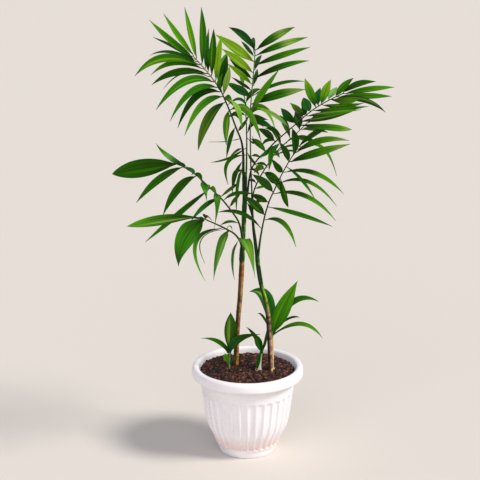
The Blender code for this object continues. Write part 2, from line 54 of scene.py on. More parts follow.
def scaleColour(colour, factor):
    return (*(value * factor for value in colour[:3]), 1.0)


def smooth(value):  # eases a share from 0 to 1
    value = min(max(value, 0), 1)
    return value * value * (3 - 2 * value)


def blendTones(tones, share):  # a colour from a row of tones spread evenly over the share
    place = min(max(share, 0), 0.999) * (len(tones) - 1)  # stops just short of the last tone
    i = int(place)
    return mixColour(tones[i], tones[min(i + 1, len(tones) - 1)], smooth(place - i))


def clearSelection():
    if bpy.context.object and bpy.context.object.mode != "OBJECT":
        bpy.ops.object.mode_set(mode="OBJECT")
    bpy.ops.object.select_all(action="DESELECT")


def selectOnly(*pieces):
    clearSelection()
    for piece in pieces:
        piece.select_set(True)
    bpy.context.view_layer.objects.active = pieces[0]


def joinPieces(pieces, name):
    selectOnly(*pieces)
    if len(pieces) > 1:
        bpy.ops.object.join()
    pieces[0].name = name
    pieces[0].data.name = name
    return pieces[0]


def applyModifier(piece, kind, **settings):
    selectOnly(piece)
    bpy.ops.object.modifier_add(type=kind)
    modifier = piece.modifiers[-1]
    for key, value in settings.items():
        setattr(modifier, key, value)
    bpy.ops.object.modifier_apply(modifier=modifier.name)


def shadeByAngle(piece, degrees):
    selectOnly(piece)
    bpy.ops.object.shade_smooth_by_angle(angle=math.radians(degrees))


def mergeShell(piece):  # closes seams and ends, then turns the faces outwards
    selectOnly(piece)
    bpy.ops.object.mode_set(mode="EDIT")
    bpy.ops.mesh.select_all(action="SELECT")
    bpy.ops.mesh.remove_doubles(threshold=0.01 * mm)
    bpy.ops.mesh.normals_make_consistent(inside=False)
    bpy.ops.object.mode_set(mode="OBJECT")


def growSheet(name, across, along, placeAt, toneAt):  # a grid, shaped point by point
    clearSelection()
    bpy.ops.mesh.primitive_grid_add(x_subdivisions=across, y_subdivisions=along, size=1)
    piece = bpy.context.object
    piece.name = name
    piece.data.uv_layers[0].name = "leafUv"
    tone = piece.data.color_attributes.new(name="tone", type="FLOAT_COLOR", domain="POINT")
    for vertex, paint in zip(piece.data.vertices, tone.data):
        u = vertex.co.x + 0.5
        v = vertex.co.y + 0.5
        vertex.co = placeAt(u, v) * mm
        paint.color = toneAt(u, v)
    return piece


def growTube(name, sides, rows, sectionAt, toneAt):  # a grid rolled up, with both ends closed
    def shareOf(row):
        return min(max((row - 1) / rows, 0), 1)  # the first and last rows shrink to a point

    def placeAt(u, v):
        row = v * (rows + 2)
        centre, side, front, radius = sectionAt(shareOf(row))
        if row < 0.5 or row > rows + 1.5:
            return centre
        angle = math.tau * u
        return centre + radius * (math.cos(angle) * side + math.sin(angle) * front)

    piece = growSheet(name, sides, rows + 2, placeAt, lambda u, v: toneAt(u, shareOf(v * (rows + 2))))
    mergeShell(piece)
    return piece


def alongCurve(points, station):  # place and direction on a smooth line through the points
    last = len(points) - 1
    i = min(int(station), last - 1)
    t = station - i
    p1 = Vector(points[i])
    p2 = Vector(points[i + 1])
    p0 = Vector(points[i - 1]) if i > 0 else 2 * p1 - p2
    p3 = Vector(points[i + 2]) if i + 2 <= last else 2 * p2 - p1
    a = (p3 - p0 + 3 * (p1 - p2)) / 2
    b = (2 * p0 - 5 * p1 + 4 * p2 - p3) / 2
    c = (p2 - p0) / 2
    place = ((a * t + b) * t + c) * t + p1
    return place, ((3 * a * t + 2 * b) * t + c).normalized()


def valueAt(steps, place):  # a value between (place, value) steps
    for (low, near), (high, far) in zip(steps, steps[1:]):
        if place <= high:
            return near + (far - near) * max(place - low, 0) / (high - low)
    return steps[-1][1]


def newMaterial(name):
    material = bpy.data.materials.new(name)
    material.use_nodes = True
    return material, material.node_tree.nodes["Principled BSDF"]


def addNode(material, kind, settings=None, values=None, links=None):  # links: outputs for its inputs
    tree = material.node_tree
    node = tree.nodes.new(kind)
    for key, value in (settings or {}).items():
        setattr(node, key, value)
    for socket, value in (values or {}).items():
        node.inputs[socket].default_value = value
    for socket, source in (links or {}).items():
        tree.links.new(source, node.inputs[socket])
    return node


def makeLeafMaterial(name, roughness, paleness, veinDepth):
    # a palm leaflet: waxy upper face with soft window-like gloss, fine veins that run to the tip.
    # A usual one is 12 mm wide. Its veins, really half a millimetre apart, are drawn at 1.5 mm, so
    # that they show.
    material, shader = newMaterial(name)
    tone = addNode(material, "ShaderNodeAttribute", {"attribute_name": "tone"})
    uv = addNode(material, "ShaderNodeUVMap", {"uv_map": "leafUv"})
    place = addNode(material, "ShaderNodeTexCoord")
    parts = addNode(material, "ShaderNodeSeparateXYZ", links={"Vector": uv.outputs["UV"]})
    drift = addNode(material, "ShaderNodeVectorMath", {"operation": "SCALE"},
                    {"Scale": 1 / (111 * mm)}, {0: place.outputs["Object"]})  # no two leaflets alike
    stretched = addNode(material, "ShaderNodeMapping", None, {"Scale": (12 / 0.8, 1.1, 1)},
                        {"Vector": uv.outputs["UV"]})  # streaks 0.8 mm wide, nearly a leaflet long
    grainPlace = addNode(material, "ShaderNodeVectorMath", {"operation": "ADD"}, None,
                         {0: stretched.outputs["Vector"], 1: drift.outputs["Vector"]})
    grain = addNode(material, "ShaderNodeTexNoise", None, {"Scale": 1.0, "Detail": 3.0},
                    {"Vector": grainPlace.outputs["Vector"]})
    blotch = addNode(material, "ShaderNodeTexNoise", None, {"Scale": 1 / (22.2 * mm), "Detail": 2.0},
                     {"Vector": place.outputs["Object"]})
    veinTurn = addNode(material, "ShaderNodeMath", {"operation": "MULTIPLY"},
                       {1: math.tau * 12 / 1.5}, {0: parts.outputs["X"]})
    veinWave = addNode(material, "ShaderNodeMath", {"operation": "COSINE"}, None,
                       {0: veinTurn.outputs[0]})
    veins = addNode(material, "ShaderNodeMapRange", None, {"From Min": -1.0, "From Max": 1.0},
                    {"Value": veinWave.outputs[0]})
    offMiddle = addNode(material, "ShaderNodeMath", {"operation": "SUBTRACT"}, {1: 0.5},
                        {0: parts.outputs["X"]})
    fromMiddle = addNode(material, "ShaderNodeMath", {"operation": "ABSOLUTE"}, None,
                         {0: offMiddle.outputs[0]})
    midrib = addNode(material, "ShaderNodeMapRange", {"interpolation_type": "SMOOTHSTEP"},
                     {"From Min": 0.02, "From Max": 0.07, "To Min": 1.0, "To Max": 0.0},
                     {"Value": fromMiddle.outputs[0]})
    streakShare = addNode(material, "ShaderNodeMapRange", None,
                          {"From Min": 0.3, "From Max": 0.72, "To Min": 0.0, "To Max": 0.85},
                          {"Value": grain.outputs["Fac"]})
    darker = addNode(material, "ShaderNodeMix", {"data_type": "RGBA", "blend_type": "MULTIPLY"},
                     {"Factor": 1.0, 7: hexColour("#8a9c60")}, {6: tone.outputs["Color"]})
    streaked = addNode(material, "ShaderNodeMix", {"data_type": "RGBA"}, None,
                       {"Factor": streakShare.outputs[0], 6: tone.outputs["Color"],
                        7: darker.outputs[2]})
    veinShare = addNode(material, "ShaderNodeMath", {"operation": "MULTIPLY"}, {1: 0.16},
                        {0: veins.outputs[0]})
    veined = addNode(material, "ShaderNodeMix", {"data_type": "RGBA", "blend_type": "MULTIPLY"},
                     {7: hexColour("#8fa070")},
                     {"Factor": veinShare.outputs[0], 6: streaked.outputs[2]})
    ribShare = addNode(material, "ShaderNodeMath", {"operation": "MULTIPLY"}, {1: 0.5},
                       {0: midrib.outputs[0]})
    ribbed = addNode(material, "ShaderNodeMix", {"data_type": "RGBA", "blend_type": "MULTIPLY"},
                     {7: hexColour("#5f7a3a")},
                     {"Factor": ribShare.outputs[0], 6: veined.outputs[2]})
    tipShare = addNode(material, "ShaderNodeMapRange", None,
                       {"From Min": 0.965, "From Max": 1.0, "To Min": 0.0, "To Max": 0.7},
                       {"Value": parts.outputs["Y"]})
    tipped = addNode(material, "ShaderNodeMix", {"data_type": "RGBA"}, {7: hexColour("#8d7433")},
                     {"Factor": tipShare.outputs[0], 6: ribbed.outputs[2]})
    paled = addNode(material, "ShaderNodeMix", {"data_type": "RGBA"},
                    {"Factor": paleness, 7: hexColour("#5f8f2c")}, {6: tipped.outputs[2]})
    gloss = addNode(material, "ShaderNodeMapRange", None,
                    {"From Min": 0.3, "From Max": 0.7, "To Min": roughness - 0.06,
                     "To Max": roughness + 0.1},
                    {"Value": blotch.outputs["Fac"]})
    folds = addNode(material, "ShaderNodeMath", {"operation": "SUBTRACT"}, None,
                    {0: veins.outputs[0], 1: midrib.outputs[0]})
    ridges = addNode(material, "ShaderNodeMath", {"operation": "ADD"}, None,
                     {0: folds.outputs[0], 1: grain.outputs["Fac"]})
    bump = addNode(material, "ShaderNodeBump", None, {"Strength": veinDepth, "Distance": 0.25 * mm},
                   {"Height": ridges.outputs[0]})
    tree = material.node_tree
    tree.links.new(paled.outputs[2], shader.inputs["Base Color"])
    tree.links.new(gloss.outputs[0], shader.inputs["Roughness"])
    tree.links.new(bump.outputs["Normal"], shader.inputs["Normal"])
    shader.inputs["Specular IOR Level"].default_value = 0.24
    shader.inputs["Specular Tint"].default_value = hexColour("#dcf07c")
    return material


def makeStalkMaterial():
    # a palm leaf stalk: smooth green rind with faint lengthwise fibres, drawn 1.1 mm wide so that
    # they show, and small dark flecks
    material, shader = newMaterial("palmStalkRind")
    tone = addNode(material, "ShaderNodeAttribute", {"attribute_name": "tone"})
    place = addNode(material, "ShaderNodeTexCoord")
    drawn = addNode(material, "ShaderNodeMapping", None,
                    {"Scale": (1 / (1.11 * mm), 1 / (1.11 * mm), 1 / (16.7 * mm))},
                    {"Vector": place.outputs["Object"]})
    fibre = addNode(material, "ShaderNodeTexNoise", None, {"Scale": 1.0, "Detail": 3.0},
                    {"Vector": drawn.outputs["Vector"]})
    fleck = addNode(material, "ShaderNodeTexNoise", None, {"Scale": 1 / (2.38 * mm), "Detail": 2.0},
                    {"Vector": place.outputs["Object"]})
    fleckShare = addNode(material, "ShaderNodeMapRange", None,
                         {"From Min": 0.6, "From Max": 0.75, "To Min": 0.0, "To Max": 0.55},
                         {"Value": fleck.outputs["Fac"]})
    fibreShare = addNode(material, "ShaderNodeMapRange", None,
                         {"From Min": 0.35, "From Max": 0.7, "To Min": 0.0, "To Max": 0.6},
                         {"Value": fibre.outputs["Fac"]})
    fibred = addNode(material, "ShaderNodeMix", {"data_type": "RGBA", "blend_type": "MULTIPLY"},
                     {7: hexColour("#9aa878")},
                     {"Factor": fibreShare.outputs[0], 6: tone.outputs["Color"]})
    flecked = addNode(material, "ShaderNodeMix", {"data_type": "RGBA"}, {7: hexColour("#2a2415")},
                      {"Factor": fleckShare.outputs[0], 6: fibred.outputs[2]})
    bump = addNode(material, "ShaderNodeBump", None, {"Strength": 0.3, "Distance": 0.3 * mm},
                   {"Height": fibre.outputs["Fac"]})
    tree = material.node_tree
    tree.links.new(flecked.outputs[2], shader.inputs["Base Color"])
    tree.links.new(bump.outputs["Normal"], shader.inputs["Normal"])
    shader.inputs["Roughness"].default_value = 0.45
    shader.inputs["Specular IOR Level"].default_value = 0.18
    return material


def makeCaneMaterial():
    # a palm cane: dry ringed bark that turns to smooth green under the crown. Fibres of 1.9 by 22 mm,
    # as coarse as they have to be to show, and stains 8 mm across give it its streaky look.
    material, shader = newMaterial("palmCaneBark")
    tone = addNode(material, "ShaderNodeAttribute", {"attribute_name": "tone"})
    place = addNode(material, "ShaderNodeTexCoord")
    drawn = addNode(material, "ShaderNodeMapping", None,
                    {"Scale": (1 / (1.92 * mm), 1 / (1.92 * mm), 1 / (22.2 * mm))},
                    {"Vector": place.outputs["Object"]})
    fibre = addNode(material, "ShaderNodeTexNoise", None,
                    {"Scale": 1.0, "Detail": 5.0, "Roughness": 0.65},
                    {"Vector": drawn.outputs["Vector"]})
    darkening = addNode(material, "ShaderNodeTexNoise", None, {"Scale": 1 / (8.33 * mm), "Detail": 4.0},
                    {"Vector": place.outputs["Object"]})
    fibreShare = addNode(material, "ShaderNodeMapRange", None,
                         {"From Min": 0.38, "From Max": 0.66, "To Min": 0.0, "To Max": 0.8},
                         {"Value": fibre.outputs["Fac"]})
    stainShare = addNode(material, "ShaderNodeMapRange", None,
                         {"From Min": 0.42, "From Max": 0.68, "To Min": 0.0, "To Max": 0.85},
                         {"Value": darkening.outputs["Fac"]})
    fibred = addNode(material, "ShaderNodeMix", {"data_type": "RGBA", "blend_type": "MULTIPLY"},
                     {7: hexColour("#8a7560")},
                     {"Factor": fibreShare.outputs[0], 6: tone.outputs["Color"]})
    stained = addNode(material, "ShaderNodeMix", {"data_type": "RGBA", "blend_type": "MULTIPLY"},
                      {7: hexColour("#5c4a3a")},
                      {"Factor": stainShare.outputs[0], 6: fibred.outputs[2]})
    bump = addNode(material, "ShaderNodeBump", None, {"Strength": 0.5, "Distance": 0.5 * mm},
                   {"Height": fibre.outputs["Fac"]})
    tree = material.node_tree
    tree.links.new(stained.outputs[2], shader.inputs["Base Color"])
    tree.links.new(bump.outputs["Normal"], shader.inputs["Normal"])
    shader.inputs["Roughness"].default_value = 0.55
    shader.inputs["Specular IOR Level"].default_value = 0.2
    return material


def makePotMaterial():
    # injection-moulded polypropylene: bright white with broad faint clouds, a soft gloss that 4 mm
    # scuffs break up, and a warm peach tint just above the foot, which is painted bounce light from
    # the floor
    material, shader = newMaterial("mouldedPolypropylene")
    place = addNode(material, "ShaderNodeTexCoord")
    parts = addNode(material, "ShaderNodeSeparateXYZ", links={"Vector": place.outputs["Object"]})
    cloud = addNode(material, "ShaderNodeTexNoise", None, {"Scale": 1 / (45.5 * mm), "Detail": 4.0},
                    {"Vector": place.outputs["Object"]})
    speck = addNode(material, "ShaderNodeTexNoise", None, {"Scale": 1 / (3.85 * mm), "Detail": 2.0},
                    {"Vector": place.outputs["Object"]})
    # painted bounce light: a warm peach tint, strongest just above the foot and gone by 50 mm up
    low = addNode(material, "ShaderNodeMapRange", {"interpolation_type": "SMOOTHSTEP"},
                  {"From Min": 18 * mm, "From Max": 50 * mm, "To Min": 0.36, "To Max": 0.0},
                  {"Value": parts.outputs["Z"]})
    overFoot = addNode(material, "ShaderNodeMapRange", {"interpolation_type": "SMOOTHSTEP"},
                       {"From Min": 14 * mm, "From Max": 20 * mm, "To Min": 0.0, "To Max": 1.0},
                       {"Value": parts.outputs["Z"]})
    bounceShare = addNode(material, "ShaderNodeMath", {"operation": "MULTIPLY"}, None,
                        {0: low.outputs[0], 1: overFoot.outputs[0]})
    cloudShare = addNode(material, "ShaderNodeMapRange", None,
                         {"From Min": 0.35, "From Max": 0.75, "To Min": 0.0, "To Max": 1.0},
                         {"Value": cloud.outputs["Fac"]})
    clouded = addNode(material, "ShaderNodeMix", {"data_type": "RGBA"},
                      {6: hexColour("#faf6f9"), 7: hexColour("#f2ecf0")},
                      {"Factor": cloudShare.outputs[0]})
    bounceTinted = addNode(material, "ShaderNodeMix", {"data_type": "RGBA"}, {7: hexColour("#e6b498")},
                     {"Factor": bounceShare.outputs[0], 6: clouded.outputs[2]})
    gloss = addNode(material, "ShaderNodeMapRange", None,
                    {"From Min": 0.35, "From Max": 0.7, "To Min": 0.26, "To Max": 0.4},
                    {"Value": speck.outputs["Fac"]})
    bump = addNode(material, "ShaderNodeBump", None, {"Strength": 0.01, "Distance": 0.3 * mm},
                   {"Height": speck.outputs["Fac"]})
    tree = material.node_tree
    tree.links.new(bounceTinted.outputs[2], shader.inputs["Base Color"])
    tree.links.new(gloss.outputs[0], shader.inputs["Roughness"])
    tree.links.new(bump.outputs["Normal"], shader.inputs["Normal"])
    shader.inputs["IOR"].default_value = 1.49
    return material


def makeSoilMaterial():
    # damp laterite potting soil: matt red-brown crumbs, each of its own shade, with a grit drawn at
    # 2 mm, coarser than the real one, so that it shows
    material, shader = newMaterial("lateriteSoil")
    tone = addNode(material, "ShaderNodeAttribute", {"attribute_name": "tone"})
    place = addNode(material, "ShaderNodeTexCoord")
    grit = addNode(material, "ShaderNodeTexNoise", None,
                   {"Scale": 1 / (2.08 * mm), "Detail": 4.0, "Roughness": 0.7},
                   {"Vector": place.outputs["Object"]})
    gritShare = addNode(material, "ShaderNodeMapRange", None,
                        {"From Min": 0.4, "From Max": 0.65, "To Min": 0.0, "To Max": 0.8},
                        {"Value": grit.outputs["Fac"]})
    gritty = addNode(material, "ShaderNodeMix", {"data_type": "RGBA", "blend_type": "MULTIPLY"},
                     {7: hexColour("#7a6a60")},
                     {"Factor": gritShare.outputs[0], 6: tone.outputs["Color"]})
    bump = addNode(material, "ShaderNodeBump", None, {"Strength": 0.8, "Distance": 0.8 * mm},
                   {"Height": grit.outputs["Fac"]})
    tree = material.node_tree
    tree.links.new(gritty.outputs[2], shader.inputs["Base Color"])
    tree.links.new(bump.outputs["Normal"], shader.inputs["Normal"])
    shader.inputs["Roughness"].default_value = 0.85
    return material


leafUpper = makeLeafMaterial("waxyPalmLeaf", 0.33, 0.0, 0.4)
leafUnder = makeLeafMaterial("palmLeafUnderside", 0.5, 0.25, 0.35)
stalkRind = makeStalkMaterial()
caneBark = makeCaneMaterial()
potPlastic = makePotMaterial()
soilCrumb = makeSoilMaterial()
print("materials made")


# The pot's outline: (height, radius) points up the outside, over the rim and down the inside

pot = {
    "foot": (
        (0, 52), (0.4, 53), (1.4, 53.8), (7, 55.2), (12.4, 56.3), (13.4, 56.5), (13.9, 57.2),
        (14.6, 58.4), (15, 58.6),
    ),
    "body": (
        (15, 58.6), (20, 61), (37, 67.4), (53, 75.8), (74, 80.6), (103, 84.3), (128, 87.8), (139, 89),
    ),
    "collar": ((139, 89), (139.4, 89.5), (139.8, 90.7), (140.6, 91.5), (151, 92.4), (158.4, 92.9)),
    "rim": (
        (159.2, 93.7), (159.6, 95), (159.6, 101), (158.8, 102), (153, 102.4), (151.4, 102.6),
        (151, 103.3), (151.2, 104.1), (152.2, 104.7), (154, 105), (158, 105), (163, 104.8),
        (166.4, 103.9), (168.4, 102.4), (169.5, 100.6), (170, 98.6), (169.9, 96.4), (169.2, 94.5),
        (168.1, 92.9), (166.3, 91.9),
    ),
    "mouth": ((163, 91.2), (157, 89.6), (148, 87.2)),
    "inside": (
        (128, 84.6), (103, 81.1), (74, 77.4), (53, 72.6), (37, 64.2), (20, 56.8), (12, 53), (9, 51.6),
        (8, 50),
    ),
    "sides": 384, "ease": 5, "smoothAngle": 38,
    "flutes": 32, "fluteDepth": 3.6, "fluteFoot": 17.5, "fluteHead": 122, "landShare": 0.2,
    "slopeShare": 0.42, "endReach": 10, "endStep": 1.1, "middleStep": 4, "plainRows": (127, 131, 135),
    "drains": 6, "drainRadius": 3.5, "drainCircle": 28, "drainSides": 32, "drainReach": 3,
}


def bodyRadius(height):  # the body's side with its corners eased
    low = pot["body"][0][0]
    high = pot["body"][-1][0]
    reach = min(pot["ease"], height - low, high - height)
    steps = (-1, -0.5, 0, 0.5, 1)
    return sum(valueAt(pot["body"], height + step * reach) for step in steps) / len(steps)


def fluteAt(angle, height):  # how deep the flutes are pressed in at this place
    reach = math.pi * bodyRadius(height) * (1 - pot["landShare"]) / pot["flutes"]
    across = (angle / math.tau * pot["flutes"]) % 1 * 2 - 1
    across = abs(across) / (1 - pot["landShare"])
    past = max(height - (pot["fluteHead"] - reach), pot["fluteFoot"] + reach - height, 0) / reach
    edge = (across ** 3 + past ** 3) ** (1 / 3)  # flat channels with round-cornered ends
    return pot["fluteDepth"] * smooth((1 - edge) / pot["slopeShare"])


def makePot():
    rows = list(pot["foot"])
    height = pot["fluteFoot"] - 1.5
    while height < pot["fluteHead"] + 2:  # rows lie close together at both ends of the flutes
        rows.append((height, bodyRadius(height)))
        fromEnd = min(height - pot["fluteFoot"], pot["fluteHead"] - height)
        height += pot["endStep"] if fromEnd < pot["endReach"] else pot["middleStep"]
    rows += [(height, bodyRadius(height)) for height in pot["plainRows"]]
    rows += pot["collar"] + pot["rim"] + pot["mouth"] + pot["inside"]
    clearSelection()
    bpy.ops.mesh.primitive_circle_add(vertices=pot["sides"], radius=rows[0][1] * mm,
                                      location=(0, 0, 0))
    piece = bpy.context.object
    bpy.ops.object.mode_set(mode="EDIT")
    for (low, near), (high, far) in zip(rows, rows[1:]):
        bpy.ops.mesh.extrude_region_move(TRANSFORM_OT_translate={"value": (0, 0, (high - low) * mm)})
        bpy.ops.transform.resize(value=(far / near, far / near, 1))
    bpy.ops.mesh.edge_face_add()  # the floor inside
    bpy.ops.mesh.select_all(action="DESELECT")
    bpy.ops.object.mode_set(mode="OBJECT")
    for vertex in piece.data.vertices:
        vertex.select = vertex.co.z < 0.1 * mm
    bpy.ops.object.mode_set(mode="EDIT")
    bpy.ops.mesh.edge_face_add()  # the underside
    bpy.ops.mesh.select_all(action="SELECT")
    bpy.ops.mesh.normals_make_consistent(inside=False)
    bpy.ops.object.mode_set(mode="OBJECT")
    for vertex in piece.data.vertices:  # the outer wall alone is pressed in
        radius = math.hypot(vertex.co.x, vertex.co.y)
        height = vertex.co.z / mm
        if pot["fluteFoot"] < height < pot["fluteHead"] and radius > (bodyRadius(height) - 1) * mm:
            deep = fluteAt(math.atan2(vertex.co.y, vertex.co.x), height) * mm
            vertex.co.x *= 1 - deep / radius
            vertex.co.y *= 1 - deep / radius
    piece.data.materials.append(potPlastic)
    floorHeight = pot["inside"][-1][0]
    cutters = []
    for i in range(pot["drains"]):
        angle = math.tau * (i + 0.5) / pot["drains"]
        x = pot["drainCircle"] * math.cos(angle) * mm
        y = pot["drainCircle"] * math.sin(angle) * mm
        clearSelection()
        bpy.ops.mesh.primitive_cylinder_add(
            vertices=pot["drainSides"], radius=pot["drainRadius"] * mm,
            depth=(floorHeight + 2 * pot["drainReach"]) * mm, location=(x, y, floorHeight / 2 * mm))
        cutters.append(bpy.context.object)
    cutter = joinPieces(cutters, "drainCutter")
    applyModifier(piece, "BOOLEAN", operation="DIFFERENCE", object=cutter)
    bpy.data.objects.remove(cutter)
    shadeByAngle(piece, pot["smoothAngle"])
    return joinPieces([piece], "flutedPot")


flutedPot = makePot()
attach(flutedPot, "root")
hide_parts("pot")
print("pot turned and fluted")


# The soil: its side follows the inside of the pot, and its top has lumps of (size, rise)

soil = {
    "side": (
        (8.4, 0), (8.4, 49), (12, 52), (20, 55.8), (37, 63.2), (53, 71.4), (74, 76.2), (103, 80),
        (128, 83.5), (148, 86.3), (153, 87.4),
    ),
    "level": 160, "mound": 3, "moundRadius": 90, "edgeSag": 1.5, "topRadius": 89.6, "wallGap": 0.4,
    "lumps": ((17, 1.9), (7.5, 1.7), (3.4, 0.8)), "sectors": 144, "rings": 46,
    "crumbs": 2400, "crumbShapes": 4, "crumbSize": (1.5, 4.6), "crumbLumps": (0.7, 1.25),
    "crumbWorn": (0.6, 1), "crumbLength": (0.9, 1.9), "crumbWidth": 0.8, "crumbTilt": 0.9,
    "crumbRise": 0.15, "crumbFromStem": 0.7, "crumbCircle": 88.5, "crumbEdge": 89.2,
    "smoothAngle": 60, "crumbSmoothAngle": 80,
    "tones": ("#120805", "#331710", "#4c2519", "#673524", "#20100a", "#865038", "#3c1d17"),
}


def soilHeight(x, y):  # lumpy top, a little higher in the middle
    far = math.hypot(x, y) / soil["moundRadius"]
    height = soil["level"] + soil["mound"] * (1 - far * far) - soil["edgeSag"] * far ** 6
    for size, rise in soil["lumps"]:
        height += rise * noise.noise(Vector((x / size, y / size, size)))
    return height


def makeSoil():
    generator = random.Random(11)
    side = soil["side"]
    rows = len(side) - 1 + soil["rings"]

    def placeAt(u, v):
        angle = math.tau * u
        row = round(v * rows)
        if row < len(side):
            height, radius = side[row]
            return Vector((radius * math.cos(angle), radius * math.sin(angle), height))
        radius = soil["topRadius"] * (1 - (row - len(side) + 1) / soil["rings"])
        x = radius * math.cos(angle)
        y = radius * math.sin(angle)
        height = soilHeight(x, y)
        past = soil["wallGap"] + radius - valueAt(pot["mouth"][::-1], height)
        shrink = min(1, 1 - past / max(radius, 1))
        return Vector((x * shrink, y * shrink, height))

    # painted shade: the ground between the crumbs takes the darkest soil tone, for the shade in the
    # gaps
    gapShade = hexColour(soil["tones"][0])
    ground = growSheet("ground", soil["sectors"], rows, placeAt, lambda u, v: gapShade)
    mergeShell(ground)
    shadeByAngle(ground, soil["smoothAngle"])
    models = []
    for _ in range(soil["crumbShapes"]):  # a few lumpy crumbs, copied over the top
        clearSelection()
        bpy.ops.mesh.primitive_ico_sphere_add(subdivisions=1, radius=1 * mm, location=(0, 0, 0))
        crumb = bpy.context.object
        for vertex in crumb.data.vertices:
            vertex.co *= generator.uniform(*soil["crumbLumps"])
        models.append(crumb)
    crumbs = []
    while len(crumbs) < soil["crumbs"]:
        reach = soil["crumbCircle"] * math.sqrt(generator.random())
        angle = generator.uniform(0, math.tau)
        x = reach * math.cos(angle)
        y = reach * math.sin(angle)
        size = generator.uniform(*soil["crumbSize"]) * generator.uniform(*soil["crumbWorn"])
        inStem = any(math.hypot(x - foot.x, y - foot.y) < radius + soil["crumbFromStem"] * size
                     for foot, radius in stemFeet)
        if reach + size > soil["crumbEdge"] or inStem:
            continue
        model = models[len(crumbs) % len(models)]
        crumb = model.copy()
        crumb.data = model.data.copy()
        bpy.context.scene.collection.objects.link(crumb)
        spin = Matrix.Rotation(generator.uniform(0, math.tau), 4, "Z")
        tilt = Matrix.Rotation(generator.uniform(-soil["crumbTilt"], soil["crumbTilt"]), 4, "X")
        length = size * generator.uniform(*soil["crumbLength"])
        grow = Matrix.Diagonal((length, size * soil["crumbWidth"], size * soil["crumbWidth"], 1))
        height = soilHeight(x, y) + size * soil["crumbRise"]
        spot = Matrix.Translation(Vector((x, y, height)) * mm)
        crumb.data.transform(spot @ spin @ tilt @ grow)
        colour = hexColour(generator.choice(soil["tones"]))
        tone = crumb.data.color_attributes.new(name="tone", type="FLOAT_COLOR", domain="POINT")
        for paint in tone.data:
            paint.color = colour
        crumbs.append(crumb)
    for model in models:
        bpy.data.objects.remove(model)
    piece = joinPieces([ground, *crumbs], "pottingSoil")
    piece.data.materials.clear()
    piece.data.materials.append(soilCrumb)
    shadeByAngle(piece, soil["crumbSmoothAngle"])
    return piece


# The plant's tables give it upright in the middle of the pot: it stands 21 mm in front of that and
# 11.3 mm higher, leans a little and is a touch narrower.

plantPlace = Matrix((
    (0.988, 0, 0, 0), (0, 1, 0, -21 * mm), (0, -0.0335, 0.9976, 11.3 * mm), (0, 0, 0, 1),
))


# Canes and shoot stems: (place, radius) along the middle, the heights of the leaf scars, and
# (height, colour) from the soil up

stems = {
    "cane_left": {
        "points": (
            ((-22.5, 37, 112), 5.4), ((-22.5, 37, 150), 5.4), ((-20.7, 36, 200), 4.9),
            ((-17.7, 34, 250), 4.7), ((-14, 32, 295), 4.8), ((-11.5, 30, 345), 5),
            ((-9.8, 29, 385), 4.3), ((-7.5, 28, 430), 4.1), ((-6, 27, 480), 3.9),
            ((-5.5, 26, 534), 4.4),
        ),
        "scars": (163, 181, 203, 231, 262, 297, 334, 361, 398, 436, 483),
        "tones": (
            (150, "#b87638"), (195, "#a87442"), (240, "#8f6644"), (300, "#a08050"), (345, "#9c5c26"),
            (358, "#7a5a28"), (366, "#42701c"), (534, "#35641a"),
        ),
        "sides": 20, "rows": 170, "scarDepth": 0.25, "paintedSideLight": 0.65,
    },
    "cane_right": {
        "points": (
            ((44, 10, 112), 4.5), ((44, 10, 150), 4.5), ((42, 11, 200), 4.4), ((39, 12, 255), 4.4),
            ((33.5, 14, 290), 4.2), ((25.5, 16, 320), 4), ((20.5, 19, 348), 4), ((18, 23, 377), 4.2),
        ),
        "scars": (158, 172, 191, 214, 238, 257, 266),
        "tones": (
            (150, "#a8845c"), (165, "#856759"), (240, "#765a50"), (258, "#4a3226"), (266, "#b08c6c"),
            (275, "#6f8a22"), (330, "#3f6d14"), (377, "#34660f"),
        ),
        "sides": 20, "rows": 120, "scarDepth": 0.3, "paintedSideLight": 0.7,
    },
    "shoot_left_stem": {
        "points": (
            ((-34.5, 15, 125), 1.7), ((-34.5, 15, 150), 1.7), ((-34.5, 15, 175), 1.5),
            ((-34.5, 15, 198), 1.4),
        ),
        "scars": (164,),
        "tones": ((150, "#7da25a"), (200, "#3f8a2e")),
        "sides": 12, "rows": 40, "scarDepth": 0.3,
    },
    "shoot_centre_stem": {
        "points": (
            ((20.5, 8, 125), 3), ((20.5, 8, 144), 7.2), ((20.5, 8, 150), 7.4), ((21.2, 8, 156), 5.6),
            ((22.4, 8, 164), 3.6), ((24.5, 8, 180), 3), ((27.5, 8, 196), 2.8),
        ),
        "scars": (),
        "tones": (
            (150, "#b48c80"), (156, "#dcc0b4"), (166, "#e6e0cc"), (178, "#a8c488"), (196, "#2f6a1c"),
        ),
        "sides": 16, "rows": 48, "scarDepth": 0.3,
    },
    "shoot_right_stem": {
        "points": (
            ((48.8, 17, 125), 3.2), ((48.8, 17, 150), 3.2), ((47.7, 17.3, 158), 2.7),
            ((47.2, 17.5, 196), 2.6), ((46.2, 18, 231.5), 2.2),
        ),
        "scars": (170, 194),
        "tones": (
            (150, "#ecdcb0"), (170, "#f8dca8"), (205, "#ecc890"), (222, "#8aac54"), (232, "#3f8a2e"),
        ),
        "sides": 14, "rows": 60, "scarDepth": 0.25,
    },
}
leafScar = {  # a raised ring, with marks of (rise, width, colour, strength): a dark line, a pale band
    "ringWidth": 1.9, "marks": ((1, 1.3, "#2b1e14", 0.35), (-3, 1.8, "#c9ab6e", 0.3)),
}
paintedSideLight = {  # painted light: a cane's left side is darkened as painted shade, and its right side, towards the key lamp, is lightened as a painted highlight
    "shadeEnd": 0.3, "shadeFade": 0.6, "highlight": 2.8, "highlightStart": 0.1, "highlightFade": 0.45,
}
stemSmoothAngle = 60
stemFeet = [(plantPlace @ (Vector(stem["points"][1][0]) * mm) / mm, stem["points"][1][1])
            for stem in stems.values()]  # where each stem comes out of the soil


def hump(distance, width):  # 1 at its top, fading to 0 on both sides
    return math.exp(-(distance / width) ** 2)


